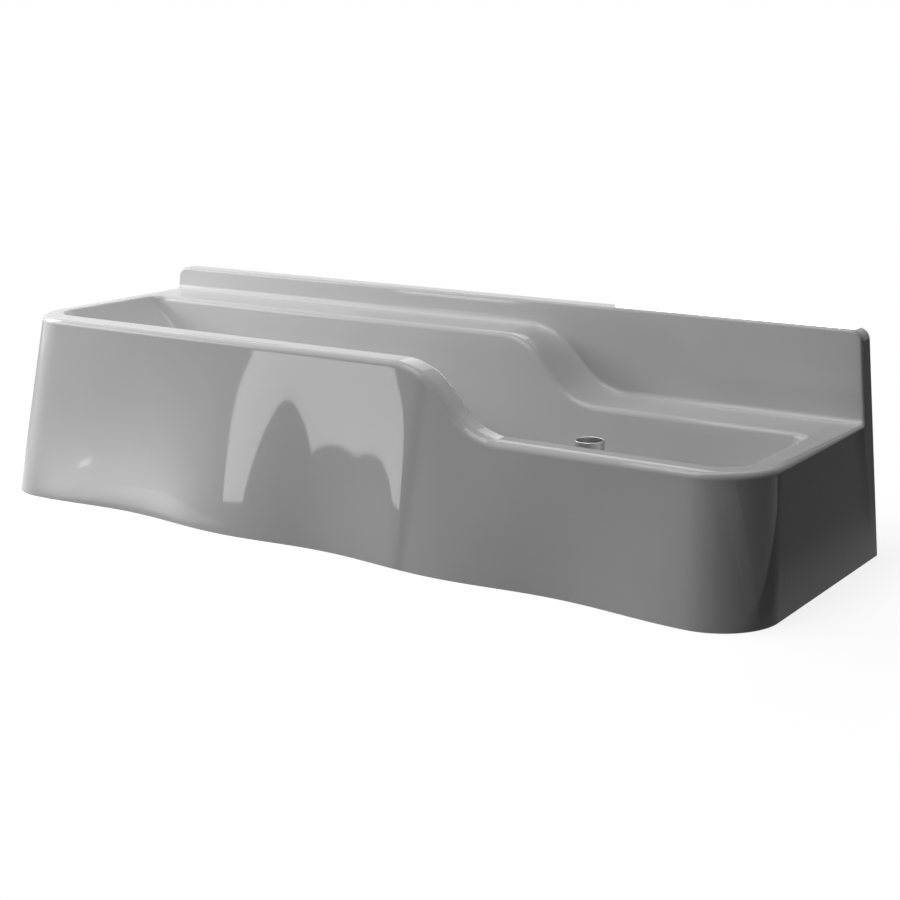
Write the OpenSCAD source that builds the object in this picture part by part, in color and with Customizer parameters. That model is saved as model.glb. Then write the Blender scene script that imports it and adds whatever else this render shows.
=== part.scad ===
// Two-level trough sink: one casting hung on two wall brackets, with a lift-out standpipe.
// Places on the casting are [x, reach, z] in millimetres: x runs along the wall from the middle of
// the trough, reach is the distance out from the wall, z is the height above the foot of the skirt.

/* [Casting] */
// Length at the foot of the skirt
trough_length = 1400; // [1340:10:1600]
// Reach of the skirt's foot at the high end
foot_reach_high = 456; // [450:1:470]
// Reach of the skirt's foot at the low end
foot_reach_low = 460; // [455:1:480]
// Height of the high rim
high_rim = 300; // [285:1:310]
// Height of the low rim
low_rim = 203; // [198:1:215]
// Height of the backsplash
splash_top = 340; // [332:1:420]
// Thickness of the backsplash
splash_thickness = 30; // [26:1:38]
// Lean of the high end, wider at the foot
end_flare_high = 7.4; // [4:0.1:9]
// Lean of the low end, wider at the foot
end_flare_low = 5.3; // [3:0.1:7]
// Lean of the front below the rim
front_lean = 3.3; // [2:0.1:5]
// Reach of the front face at the low rim
rim_reach = 426; // [418:1:432]
// Radius of the two front corners in plan
corner_radius = 92; // [80:1:110]
// Radius of the rim's rounded edges
edge_radius = 10; // [7:0.5:12]
// Radius of the backsplash's rounded edges
splash_edge = 5; // [3:0.5:8]
// Radius of the backsplash's top corners, before its edge is rounded
splash_corner = 11; // [5:0.5:14]
// Radius of the cove between deck and backsplash
cove_radius = 9; // [6:1:14]
// Thickness of the casting's walls
wall = 12; // [10:0.5:13]
// Depth of the waves along the skirt's foot
wave_depth = 16; // [0:1:24]
// Number of waves along the skirt's foot
waves = 3; // [1:1:5]

/* [Step] */
// Place of the step between the two rims
step_x = 200; // [190:1:215]
// Radius of the step's two bends
step_radius = 110; // [80:1:120]
// Slope between the bends
step_angle = 46.5; // [40:0.5:52]
// How far the basin's floor steps down ahead of the rim
floor_lead = 150; // [130:5:160]

/* [Basin] */
// Depth of the basin below its rim
basin_depth = 110; // [95:1:115]
// Width of the front rim
front_rim_width = 51; // [46:1:60]
// Width of the rim at the low end
low_end_rim_width = 43; // [38:1:60]
// Width of the rim at the high end
high_end_rim_width = 30; // [28:1:45]
// Wall to basin at the low rim
deck_reach = 134; // [126:1:140]
// Draft of the basin's front and back walls
basin_draft = 6; // [4:0.1:8]
// Draft of the basin's low end wall
end_draft = 6; // [3:0.1:10]
// Slope of the basin's high end wall
ramp_angle = 42; // [36:1:50]
// Radius between the basin's floor and walls
floor_fillet = 28; // [22:1:34]
// Rise of the floor away from the waste, in mm per metre
floor_fall = 10; // [0:1:12]
// Radius of the basin's front corners in plan
basin_corner_front = 41; // [34:1:50]
// Radius of the basin's back corners in plan
basin_corner_back = 26; // [20:1:34]

/* [Waste and standpipe] */
// Waste, place along the trough
drain_x = 350; // [345:1:370]
// Waste, distance out from the wall
drain_reach = 257; // [250:1:266]
// Diameter of the waste's threaded tail
tail_diameter = 47.8; // [40:0.1:50]
// Bore of the waste
throat_diameter = 38; // [32:0.1:40]
// Diameter of the waste's flange
flange_diameter = 76; // [70:1:84]
// Thickness of the waste's flange
flange_thickness = 3; // [2.5:0.1:4]
// Thickness of each flat seal
seal_thickness = 2; // [1.5:0.1:2.5]
// Thickness of the backnut
nut_thickness = 12; // [8:1:14]
// Width of the backnut across its flats
nut_width = 62; // [60:1:70]
// Height of the tail's end above the foot of the skirt
tail_end = 20; // [12:1:28]
// Outer diameter of the standpipe
pipe_diameter = 44; // [42:0.5:48]
// Wall of the standpipe
pipe_wall = 2; // [1.5:0.1:2.5]
// Top of the standpipe below the low rim
pipe_drop = 21; // [10:1:35]
// Gap at the standpipe's seat and around its spigot
lift_gap = 0.3; // [0.25:0.05:0.5]

/* [Wall brackets] */
// Place of the bracket under the high basin
bracket_high_x = -330; // [-400:5:-200]
// Place of the bracket under the low basin
bracket_low_x = 520; // [505:1:525]
// Width of a bracket's wall plate
plate_width = 80; // [76:1:90]
// Thickness of a bracket's wall plate
plate_thickness = 6; // [5:0.5:8]
// Lower edge of the wall plates
plate_bottom = 20; // [14:1:30]
// Upper edge of the wall plates
plate_top = 184; // [176:1:185]
// Lower wall bolt holes, height
bolt_hole_z = 60; // [50:1:70]
// Height between wall bolt holes
bolt_rise = 100; // [80:1:104]
// Width between wall bolt holes
bolt_spread = 50; // [44:1:56]
// Diameter of the wall bolt holes
bolt_hole = 10.5; // [8:0.5:12]
// Width of a bracket's arm
arm_width = 60; // [56:1:70]
// Thickness of the arm and its web
arm_thickness = 5; // [4:0.5:6]
// Reach of the arm from the wall
arm_reach = 336; // [325:1:345]

/* [Fixings] */
// Thickness of the bonded blocks
block_thickness = 25; // [22:1:26]
// Width of the bonded blocks along the trough
block_width = 110; // [80:1:120]
// Nearest reach of the blocks
block_from = 180; // [170:1:190]
// Furthest reach of the blocks
block_to = 320; // [312:1:326]
// Thickness of the rubber pads on the arms
pad_thickness = 3; // [2:0.5:4]
// Width between the arm screws
screw_spread = 36; // [34:1:40]
// Reach of the arm screws nearer the wall
screw_near = 205; // [196:1:212]
// Reach of the arm screws further from the wall
screw_far = 295; // [288:1:302]
// Diameter of the arm screws
screw_diameter = 8; // [6:1:8]
// Outer diameter of the threaded inserts
insert_diameter = 12; // [11:0.5:14]
// Length of the threaded inserts
insert_length = 18; // [14:1:20]
// Gap around an insert and a screw
fixing_gap = 0.05; // [0.02:0.01:0.1]

/* [Hidden] */
$fn = 96;

// Station kinds around the trough, and how many steps each takes.
SIDE_FRONT = 0; CORNER_FRONT = 1; FRONT = 2;
SIDE_BACK = 3; CORNER_BACK = 4; BACK = 5;
side_steps = 8;
corner_steps = 5;
end_steps = 3;
long_steps = 7;
lead_steps = 11;
step_steps = 12;
short_steps = 7;
low_end_steps = 2;
fillet_steps = 3;
edge_steps = 3;
cove_steps = 4; // also the stations of a side that lie on the cove

// Step between the two rims
drop = high_rim - low_rim;
bend_angle = min(step_angle, acos(1 - drop / (2 * step_radius)));
bend_run = step_radius * sin(bend_angle);
bend_drop = step_radius * (1 - cos(bend_angle));
step_run = 2 * bend_run + (drop - 2 * bend_drop) / tan(bend_angle);
step_start = step_x - step_run / 2;
step_end = step_x + step_run / 2;
floor_start = step_start - floor_lead;

// Cove, as it is met going from the deck towards the wall
cove_start = splash_thickness + cove_radius;
cove_arc = cove_radius * PI / 2;
bend_lead = cove_arc / 40; // side stations lie just ahead of the bends, so no edges line up
side_mid = (rim_reach + deck_reach) / 2;

// Angles of the basin's walls above level: high end, low end, front, back
wall_angles = [ramp_angle, 90 - end_draft, 90 - basin_draft, 90 - basin_draft];
floor_corner = floor_fillet / 2;
floor_taper = 10;   // by which a front corner tightens at the foot of the basin's wall
lip_corner = 4;
ceiling_strip = 6;
end_margin = 30;
basin_gather = 15;
foot_gather = 20;
corner_slip = 1;    // between stations of the deck where they meet at the cove
splash_from = 1 / 4; // share of a back side's stations before the first on the backsplash

// Stretch of the trough where every ring has the same stations
fixed_from = end_x(-1, high_rim) + high_end_rim_width
    + basin_depth / tan(ramp_angle) + floor_fillet * tan(ramp_angle / 2) + floor_corner + end_margin;
fixed_to = end_x(1, low_rim) - low_end_rim_width
    - basin_depth * tan(end_draft) - floor_fillet - floor_corner - end_margin;

// Heights of the waste's stack, from the basin floor down
floor_z = low_rim - basin_depth;
seat_z = floor_z - flange_thickness - seal_thickness;
boss_height = 6;
boss_margin = 10;
boss_radius = flange_diameter / 2 + boss_margin;
boss_overlap = 4;
boss_z = floor_z - wall - boss_height;
slip_thickness = 1.5;
slip_z = boss_z - seal_thickness - slip_thickness;
nut_z = slip_z - nut_thickness;
tail_gap = 1.6;
tail_hole = tail_diameter + 2 * tail_gap;
gasket_gap = 1;

// Standpipe
pipe_top = low_rim - pipe_drop;
collar_height = 6;
collar_z = floor_z + lift_gap;
socket_height = 10;
spigot_length = 25;
seat_width = 1.5;   // the waste's throat is bevelled at its top
seat_depth = 6;
spigot_diameter = throat_diameter - 4 * lift_gap;
seal_section = 2.4;
seal_drop = 12;
seal_z = floor_z - seal_drop;
foot_bore = 30;

// Brackets and fixings
block_z_high = high_rim - basin_depth - wall - block_thickness;
block_z_low = low_rim - basin_depth - wall - block_thickness;
arm_z_high = block_z_high - pad_thickness;
arm_z_low = block_z_low - pad_thickness;
web_tip = 12;
web_foot = 4;
gusset_reach = 80;
gusset_rise = 90;
washer_thickness = 1.6;
washer_diameter = 2 * screw_diameter;
washer_play = 0.4;
washer_bore = screw_diameter + washer_play;
head_height = 0.66 * screw_diameter;
head_width = 1.625 * screw_diameter;
screw_play = 1;
clearance_hole = screw_diameter + screw_play;
screw_end = 2;      // a screw stops short of its insert's end
nut_flange = 3;
cut = 1;            // by which a cutting tool overshoots

function lerp(a, b, t) = a + (b - a) * t;

// Where the high end, side -1, or the low end, side 1, is at a height
function end_x(side, z) =
    side * (trough_length / 2 - z * tan(side < 0 ? end_flare_high : end_flare_low));

// Height of the rim: level, bend, slope, bend, level
function rim_z(x) = let (d = x - step_start, left = step_run - d) high_rim - (
    d <= 0 ? 0 :
    d < bend_run ? step_radius - sqrt(step_radius^2 - d^2) :
    left > bend_run ? bend_drop + (d - bend_run) * tan(bend_angle) :
    left > 0 ? drop - step_radius + sqrt(step_radius^2 - left^2) : drop);

// Reach of the front face at a height, of the basin's front and back at the rim
function front_reach(z) = rim_reach + (low_rim - z) * tan(front_lean);
function basin_front(x) = front_reach(rim_z(x)) - front_rim_width;
function basin_back(x) = deck_reach - (rim_z(x) - low_rim) * tan(basin_draft);

// The floor steps down ahead of the rim, and the basin is deeper between the two
function extra_depth(x) = rim_z(x) - rim_z(x + floor_lead);

// Reach of the skirt's foot: full waves between the two corners
function foot_reach(x) =
    let (run = trough_length / 2 - corner_radius,
         u = min(1, max(0, (x + run) / (2 * run))))
    lerp(foot_reach_high, foot_reach_low, u) - wave_depth / 2 * (1 - cos(360 * waves * u));

// A station is [kind, end, t]. End is -1 on the high end, 1 on the low end, and 0 where t is an x.
front_half = [
    for (k = [1:side_steps - 1]) [SIDE_FRONT, -1, k / side_steps],
    for (k = [0:corner_steps - 1]) [CORNER_FRONT, -1, k / corner_steps],
    for (k = [0:end_steps - 1]) [FRONT, -1, k / end_steps],
    for (k = [0:long_steps - 1]) [FRONT, 0, lerp(fixed_from, floor_start, k / long_steps)],
    for (k = [0:lead_steps - 1]) [FRONT, 0, lerp(floor_start, step_start, k / lead_steps)],
    for (k = [0:step_steps - 1]) [FRONT, 0, lerp(step_start, step_end, k / step_steps)],
    for (k = [0:short_steps]) [FRONT, 0, lerp(step_end, fixed_to, k / short_steps)],
    for (k = [1:low_end_steps]) [FRONT, 1, k / low_end_steps],
    for (k = [corner_steps - 1:-1:0]) [CORNER_FRONT, 1, k / corner_steps],
    for (k = [side_steps - 1:-1:1]) [SIDE_FRONT, 1, k / side_steps]];
half_count = len(front_half);
stations = concat(front_half,
    [for (k = [half_count - 1:-1:0])
        [front_half[k][0] + 3, front_half[k][1], front_half[k][2]]]);
count = len(stations);

// An outline is [high end x, low end x, front radius, back radius, front reach function,
// back reach function, knee, spread]. Stations of the sides gather at the knee.
function along(st, a, b) =
    st[1] < 0 ? lerp(a, fixed_from, st[2]) : st[1] > 0 ? lerp(fixed_to, b, st[2]) : st[2];
function plan(st, o) =
    let (kind = st[0], t = st[2], end = st[1] < 0 ? o[0] : o[1],
         front = o[4], back = o[5], knee = o[6], spread = o[7])
    kind == SIDE_FRONT ? [end, lerp(side_mid, front(end) - o[2], t)] :
    kind == CORNER_FRONT ? [end - st[1] * o[2] * (1 - cos(90 * t)),
                            front(end) - o[2] * (1 - sin(90 * t))] :
    kind == FRONT ? let (x = along(st, o[0] + o[2], o[1] - o[2])) [x, front(x)] :
    kind == SIDE_BACK ? [end, lookup(t, [[0, side_mid], [splash_from, knee + spread],
                                         [1 - splash_from, knee - spread],
                                         [1, back(end) + o[3]]])] :
    kind == CORNER_BACK ? [end - st[1] * o[3] * (1 - cos(90 * t)),
                           back(end) + o[3] * (1 - sin(90 * t))] :
    let (x = along(st, o[0] + o[3], o[1] - o[3])) [x, back(x)];

// Value at a station of a list [high end, low end, front, back], blended in the corners
function mix(st, v) =
    let (end = st[1] < 0 ? v[0] : v[1], s = sin(90 * st[2])^2)
    st[0] == FRONT ? v[2] : st[0] == BACK ? v[3] :
    st[0] == CORNER_FRONT ? lerp(end, v[2], s) :
    st[0] == CORNER_BACK ? lerp(end, v[3], s) : end;

// Outline of the basin, moved inwards, and of the casting's outer edge, moved outwards
function basin(inset, front_corner, back_corner, deeper = 0) =
    [end_x(-1, high_rim) + high_end_rim_width + inset[0],
     end_x(1, low_rim) - low_end_rim_width - inset[1], front_corner, back_corner,
     function(x) basin_front(x) - inset[2] - deeper * extra_depth(x) * tan(basin_draft),
     function(x) basin_back(x) + inset[3] + deeper * extra_depth(x) * tan(basin_draft),
     (side_mid + deck_reach) / 2, basin_gather];
function edge(r, out) =
    [end_x(-1, high_rim) + r - out, end_x(1, low_rim) - r + out,
     corner_radius - r + out, splash_corner + out,
     function(x) front_reach(rim_z(x)) - r + out,
     function(x) cove_start - cove_arc + cove_radius + rim_z(x) + r - splash_top - out,
     cove_start - cove_arc / 2 + bend_lead, cove_arc / 2];

// The rim's edge is rounder than the backsplash's: 0 along the rim, 1 along the backsplash
function splash_share(st) =
    st[0] > SIDE_BACK ? 1 : st[0] == SIDE_BACK ? min(1, st[2] / splash_from) : 0;

// The deck, the cove and the backsplash are one strip, folded up at the cove. Its places are
// [x, distance from the fold's far side], and h lifts a place off the surface.
function fold(p, h) =
    let (rim = rim_z(p[0]), past = cove_start - p[1], angle = min(90, past / cove_arc * 90),
         rise = rim + cove_radius - (cove_radius - h) * cos(angle) + max(0, past - cove_arc),
         side = sign(p[0]))
    past <= 0 ? [p[0], p[1], rim + h] :
    [p[0] * end_x(side, rise) / end_x(side, rim),
     cove_start - (cove_radius - h) * sin(angle), rise];

// The foot of the skirt and the back edge are one line, folded up at the wall
function fold_at_wall(p, inset) =
    let (z = max(0, -p[1]), side = sign(p[0]))
    [p[0] * (end_x(side, z) - side * inset) / (end_x(side, 0) - side * inset), max(0, p[1]), z];

// Rings of the casting, from the basin floor over the rim and down, then back underneath
function floor_ring(t) = // t goes from the floor, 0, up to the wall, 1
    let (r = floor_fillet,
         inset = [for (a = wall_angles) basin_depth / tan(a) + r * (tan(a / 2) - sin(a * t))],
         rise = [for (a = wall_angles) -basin_depth + r * (1 - cos(a * t))],
         o = basin(inset, lerp(floor_corner, basin_corner_front - floor_taper, t),
                   lerp(floor_corner, basin_corner_back, t), 1))
    [for (st = stations) let (p = plan(st, o), fall = floor_fall * abs(p[0] - drain_x) / 1000)
        [p[0], p[1], rim_z(p[0] + floor_lead) + mix(st, rise) + fall * (1 - t)]];
function basin_edge(t) =
    let (r = edge_radius)
    basin([for (a = wall_angles) r * (sin(a * (1 - t)) - tan(a / 2))],
          basin_corner_front + r * t, basin_corner_back + r * t);
function basin_edge_ring(t) = // t goes from the wall, 0, to the level rim, 1
    let (drop = [for (a = wall_angles) edge_radius * (cos(a * (1 - t)) - 1)])
    [for (st = stations) fold(plan(st, basin_edge(t)), mix(st, drop))];
function edge_place(st, a) =
    lerp(plan(st, edge(edge_radius, edge_radius * sin(a))),
         plan(st, edge(splash_edge, splash_edge * sin(a))), splash_share(st));
// A ring of the deck ends on bend k of the cove, and its side stations wait there in turn
function deck_ring(k) =
    let (q = (k + 1) / (cove_steps + 2), bend = cove_start - cove_arc * k / cove_steps)
    [for (st = stations)
        let (a = plan(st, basin_edge(1)), b = edge_place(st, 0),
             back = st[0] > SIDE_BACK, side = st[0] == SIDE_BACK,
             past = ((back ? 1 : side ? st[2] : 0) - splash_from) * side_steps,
             reach = back ? bend : side && past >= 0 ? max(bend, b[1]) : lerp(a[1], b[1], q),
             late = max(0, past - k))
        fold([lerp(a[0], b[0], q) - sign(st[1]) * corner_slip * late, reach], 0)];
function edge_ring(t) =
    let (a = 90 * t)
    [for (st = stations)
        fold(edge_place(st, a), lerp(edge_radius, splash_edge, splash_share(st)) * (cos(a) - 1))];
foot = [-trough_length / 2, trough_length / 2, corner_radius, splash_corner + splash_edge,
        function(x) foot_reach(x), function(x) -splash_top, 0, foot_gather];
foot_ring = [for (st = stations) fold_at_wall(plan(st, foot), 0)];
lip = [-trough_length / 2 + wall, trough_length / 2 - wall, corner_radius - wall, lip_corner,
       function(x) foot_reach(x) - wall, function(x) wall - rim_z(x), 0, foot_gather];
lip_ring = [for (st = stations) fold_at_wall(plan(st, lip), wall)];
ceiling = [end_x(-1, high_rim - wall) + wall, end_x(1, low_rim - wall) - wall,
           corner_radius - wall, lip_corner, function(x) front_reach(rim_z(x) - wall) - wall,
           function(x) ceiling_strip, 2 * (ceiling_strip + basin_gather), basin_gather];
ceiling_ring = [for (st = stations) let (p = plan(st, ceiling))
    [p[0], p[1], rim_z(p[0]) - wall]];
under_rim_ring =
    let (inset = [for (a = wall_angles) wall / tan(a) - wall / sin(a)],
         o = basin(inset, basin_corner_front + wall, basin_corner_back + wall))
    [for (st = stations) let (p = plan(st, o)) [p[0], p[1], rim_z(p[0]) - wall]];
function under_floor_ring(t) = // t goes from the wall, 1, to the floor's underside, 0
    let (r = floor_fillet + wall,
         inset = [for (a = wall_angles)
             basin_depth / tan(a) + floor_fillet * tan(a / 2) - r * sin(a * t)],
         rise = [for (a = wall_angles) floor_fillet - basin_depth - r * cos(a * t)],
         o = basin(inset, lerp(floor_corner, basin_corner_front, t) + wall / 2,
                   lerp(floor_corner, basin_corner_back, t) + wall / 2, 1))
    [for (st = stations) let (p = plan(st, o))
        [p[0], p[1], rim_z(p[0] + floor_lead) + mix(st, rise)]];

rings = concat(
    [for (k = [0:fillet_steps]) floor_ring(k / fillet_steps)],
    [for (k = [0:edge_steps]) basin_edge_ring(k / edge_steps)],
    [for (k = [0:cove_steps]) deck_ring(k)],
    [for (k = [0:edge_steps]) edge_ring(k / edge_steps)],
    [lerp(edge_ring(1), foot_ring, 1 / 2)],
    [foot_ring, lip_ring, ceiling_ring, under_rim_ring],
    [for (k = [2:-1:0]) under_floor_ring(k / 2)]);

// Faces that close a ring: a ladder between front and back, and a fan at each end
end_stations = side_steps + corner_steps - 1;
function fan(points) = [for (k = [1:len(points) - 2]) [points[0], points[k], points[k + 1]]];
function cap_faces() = concat(
    fan([for (k = [0:2 * end_stations + 1]) (end_stations - k + count) % count]),
    fan([for (k = [0:2 * end_stations + 1]) count / 2 + end_stations - k]),
    [for (k = [end_stations:count / 2 - 2 - end_stations])
        each [[k, count - 1 - k, count - 2 - k], [k, count - 2 - k, k + 1]]]);
function turned(faces, first) = [for (f = faces) [first + f[2], first + f[1], first + f[0]]];

module casting_shell() {
    last = len(rings) - 1;
    points = [for (ring = rings) each [for (p = ring) [p[0], depth / 2 - p[1], p[2]]]];
    sides = [for (r = [0:last - 1], i = [0:count - 1])
        let (a = r * count + i, b = r * count + (i + 1) % count, c = b + count, d = a + count)
        each [[a, b, c], [a, c, d]]];
    polyhedron(points, concat(cap_faces(), sides, turned(cap_faces(), last * count)));
}

// Overall reach, which centres the part between the wall and its furthest wave
depth = max(foot_reach_high, foot_reach_low);

module at(x, reach, z) { translate([x, depth / 2 - reach, z]) children(); }
module ring(outer, inner, height) {
    rotate_extrude() translate([inner / 2, 0]) square([(outer - inner) / 2, height]);
}
// A block between two reaches
module slab(x, width, reach_a, reach_b, z, height) {
    at(x - width / 2, reach_b, z) cube([width, reach_b - reach_a, height]);
}
module at_screws() {
    for (bracket = [[bracket_high_x, arm_z_high], [bracket_low_x, arm_z_low]],
         side = [-1, 1], reach = [screw_near, screw_far])
        at(bracket[0] + side * screw_spread / 2, reach, bracket[1]) children();
}

module trough_body() {
    color("gainsboro") difference() {
        union() {
            casting_shell();
            at(drain_x, drain_reach, boss_z)
                cylinder(r = boss_radius, h = boss_height + boss_overlap);
        }
        at(drain_x, drain_reach, boss_z - cut) cylinder(d = tail_hole, h = basin_depth);
        at(drain_x, drain_reach, seat_z)
            cylinder(d = flange_diameter + 2 * gasket_gap, h = basin_depth / 2);
    }
}

module fixing_block(x, z) {
    color("burlywood") difference() {
        slab(x, block_width, block_from, block_to, z, block_thickness);
        for (side = [-1, 1], reach = [screw_near, screw_far])
            at(x + side * screw_spread / 2, reach, z - cut)
                cylinder(d = insert_diameter + 2 * fixing_gap, h = insert_length + cut + fixing_gap);
    }
}
module threaded_inserts() {
    color("goldenrod") at_screws() translate([0, 0, pad_thickness])
        ring(insert_diameter, screw_diameter + 2 * fixing_gap, insert_length);
}

module bracket(x, arm_z) {
    color("silver") difference() {
        union() {
            slab(x, plate_width, 0, plate_thickness, plate_bottom, plate_top - plate_bottom);
            slab(x, arm_width, plate_thickness, arm_reach, arm_z - arm_thickness, arm_thickness);
            web(x, arm_z);
        }
        for (side = [-1, 1], rise = [0, bolt_rise])
            at(x + side * bolt_spread / 2, plate_thickness + cut, bolt_hole_z + rise)
                rotate([-90, 0, 0]) cylinder(d = bolt_hole, h = plate_thickness + 2 * cut);
        for (side = [-1, 1], reach = [screw_near, screw_far])
            at(x + side * screw_spread / 2, reach, arm_z - arm_thickness - cut)
                cylinder(d = clearance_hole, h = arm_thickness + 2 * cut);
    }
}
// The web runs under the arm, and rises above it where the plate goes higher
module web(x, arm_z) {
    under = arm_z - arm_thickness;
    rise = min(gusset_rise, plate_top - arm_z - web_foot);
    at(x - arm_thickness / 2, 0, 0) rotate([90, 0, 90]) linear_extrude(arm_thickness)
        polygon([[-plate_thickness, plate_bottom + web_foot], [-plate_thickness, under],
                 [-arm_reach, under], [-arm_reach, under - web_tip]]);
    if (rise > web_tip)
        at(x - arm_thickness / 2, 0, 0) rotate([90, 0, 90]) linear_extrude(arm_thickness)
            polygon([[-plate_thickness, arm_z], [-plate_thickness, arm_z + rise],
                     [-gusset_reach, arm_z]]);
}
module arm_pads() {
    color("dimgray") for (b = [[bracket_high_x, arm_z_high], [bracket_low_x, arm_z_low]])
        difference() {
            slab(b[0], arm_width, block_from, block_to, b[1], pad_thickness);
            for (side = [-1, 1], reach = [screw_near, screw_far])
                at(b[0] + side * screw_spread / 2, reach, b[1] - cut)
                    cylinder(d = clearance_hole, h = pad_thickness + 2 * cut);
        }
}
module arm_washers() {
    color("silver") at_screws() translate([0, 0, -arm_thickness - washer_thickness])
        ring(washer_diameter, washer_bore, washer_thickness);
}
module arm_bolts() {
    head_z = -arm_thickness - washer_thickness - head_height;
    color("gray") at_screws() translate([0, 0, head_z]) {
        cylinder(d = head_width / cos(30), h = head_height, $fn = 6);
        cylinder(d = screw_diameter, h = pad_thickness + insert_length - screw_end - head_z);
    }
}

module waste_flange() {
    throat = throat_diameter / 2;
    tail = tail_diameter / 2;
    underside = floor_z - flange_thickness;
    color("silver") at(drain_x, drain_reach, 0) rotate_extrude() polygon([
        [throat, tail_end], [tail, tail_end], [tail, underside],
        [flange_diameter / 2, underside], [flange_diameter / 2, floor_z],
        [throat + seat_width, floor_z], [throat, floor_z - seat_depth]]);
}
module waste_gasket() {
    color("dimgray") at(drain_x, drain_reach, seat_z)
        ring(flange_diameter, tail_diameter + gasket_gap, seal_thickness);
}
module lower_seal() {
    color("dimgray") at(drain_x, drain_reach, boss_z - seal_thickness)
        ring(flange_diameter, tail_diameter + gasket_gap, seal_thickness);
}
module slip_washer() {
    color("white") at(drain_x, drain_reach, slip_z)
        ring(flange_diameter, tail_diameter + gasket_gap, slip_thickness);
}
module waste_nut() {
    color("silver") at(drain_x, drain_reach, nut_z) difference() {
        union() {
            cylinder(d = nut_width / cos(30), h = nut_thickness - nut_flange / 2, $fn = 6);
            translate([0, 0, nut_thickness - nut_flange])
                cylinder(d = flange_diameter - gasket_gap, h = nut_flange);
        }
        translate([0, 0, -cut])
            cylinder(d = tail_diameter + 2 * fixing_gap, h = nut_thickness + 2 * cut);
    }
}

module standpipe_tube() {
    foot_top = collar_z + collar_height;
    color("gainsboro") at(drain_x, drain_reach, foot_top)
        ring(pipe_diameter, pipe_diameter - 2 * pipe_wall, pipe_top - foot_top);
}
module standpipe_foot() {
    groove = spigot_diameter / 2 - seal_section + lift_gap;
    socket = pipe_diameter / 2 - pipe_wall - fixing_gap;
    color("silver") at(drain_x, drain_reach, 0) rotate_extrude() polygon([
        [foot_bore / 2, collar_z - spigot_length], [spigot_diameter / 2, collar_z - spigot_length],
        [spigot_diameter / 2, seal_z - seal_section / 2 - fixing_gap],
        [groove, seal_z - seal_section / 2 - fixing_gap],
        [groove, seal_z + seal_section / 2 + fixing_gap],
        [spigot_diameter / 2, seal_z + seal_section / 2 + fixing_gap],
        [spigot_diameter / 2, collar_z], [pipe_diameter / 2, collar_z],
        [pipe_diameter / 2, collar_z + collar_height], [socket, collar_z + collar_height],
        [socket, collar_z + collar_height + socket_height],
        [foot_bore / 2, collar_z + collar_height + socket_height]]);
}
module standpipe_seal() {
    centre = throat_diameter / 2 - lift_gap - seal_section / 2;
    color("dimgray") at(drain_x, drain_reach, seal_z)
        rotate_extrude() translate([centre, 0]) circle(d = seal_section, $fn = 32);
}

trough_body();
fixing_block(bracket_high_x, block_z_high);  // fixing_block_high
fixing_block(bracket_low_x, block_z_low);  // fixing_block_low
threaded_inserts();
bracket(bracket_high_x, arm_z_high);  // bracket_high
bracket(bracket_low_x, arm_z_low);  // bracket_low
arm_pads();
arm_washers();
arm_bolts();
waste_flange();
waste_gasket();
lower_seal();
slip_washer();
waste_nut();
standpipe_tube();
standpipe_foot();
standpipe_seal();
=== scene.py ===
"""Two-level trough sink on its wall brackets, with a lift-out standpipe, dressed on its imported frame.

X runs along the wall, Y into it and Z up, in metres. Shapes of the casting are worked out as
[x, reach, z], where reach is the distance out from the wall.
"""
from collections import namedtuple

import bmesh
import bpy
import numpy as np
from mathutils import Matrix, Vector


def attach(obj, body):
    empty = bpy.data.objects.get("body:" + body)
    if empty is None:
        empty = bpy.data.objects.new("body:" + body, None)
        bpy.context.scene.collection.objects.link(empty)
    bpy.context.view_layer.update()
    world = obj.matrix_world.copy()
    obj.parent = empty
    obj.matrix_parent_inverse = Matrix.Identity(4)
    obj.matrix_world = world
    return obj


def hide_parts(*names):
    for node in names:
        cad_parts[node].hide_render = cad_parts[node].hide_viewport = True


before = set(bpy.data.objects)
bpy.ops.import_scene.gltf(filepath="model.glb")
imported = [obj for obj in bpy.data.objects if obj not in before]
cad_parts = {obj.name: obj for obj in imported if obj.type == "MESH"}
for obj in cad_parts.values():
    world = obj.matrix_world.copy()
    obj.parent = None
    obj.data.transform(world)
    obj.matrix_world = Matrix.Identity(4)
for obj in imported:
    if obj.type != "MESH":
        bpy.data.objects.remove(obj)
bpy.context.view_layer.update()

# -------- sizes of the casting, metres
LENGTH = 1.400
FOOT_REACH_HIGH, FOOT_REACH_LOW = 0.456, 0.460
HIGH_RIM, LOW_RIM, SPLASH_TOP = 0.300, 0.203, 0.340
SPLASH_THICKNESS = 0.030
END_FLARE_HIGH, END_FLARE_LOW, FRONT_LEAN = np.radians([7.4, 5.3, 3.3])
RIM_REACH = 0.426
CORNER_RADIUS = 0.092
EDGE_RADIUS, SPLASH_EDGE, SPLASH_CORNER, COVE_RADIUS = 0.010, 0.005, 0.011, 0.009
WALL = 0.012
WAVE_DEPTH, WAVES = 0.016, 3

STEP_X, STEP_RADIUS, STEP_ANGLE, FLOOR_LEAD = 0.200, 0.110, np.radians(46.5), 0.150

BASIN_DEPTH = 0.110
FRONT_RIM_WIDTH, LOW_END_RIM_WIDTH, HIGH_END_RIM_WIDTH = 0.051, 0.043, 0.030
DECK_REACH = 0.134
BASIN_DRAFT, END_DRAFT, RAMP_ANGLE = np.radians([6.0, 6.0, 42.0])
FLOOR_FILLET, FLOOR_FALL = 0.028, 0.010
BASIN_CORNER_FRONT, BASIN_CORNER_BACK = 0.041, 0.026
FLOOR_CORNER, FLOOR_TAPER, LIP_CORNER, CEILING_STRIP = 0.014, 0.010, 0.004, 0.006
BASIN_GATHER, FOOT_GATHER, END_MARGIN, SPLASH_FROM = 0.015, 0.020, 0.030, 0.25
CORNER_SLIP = 0.0003

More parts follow.
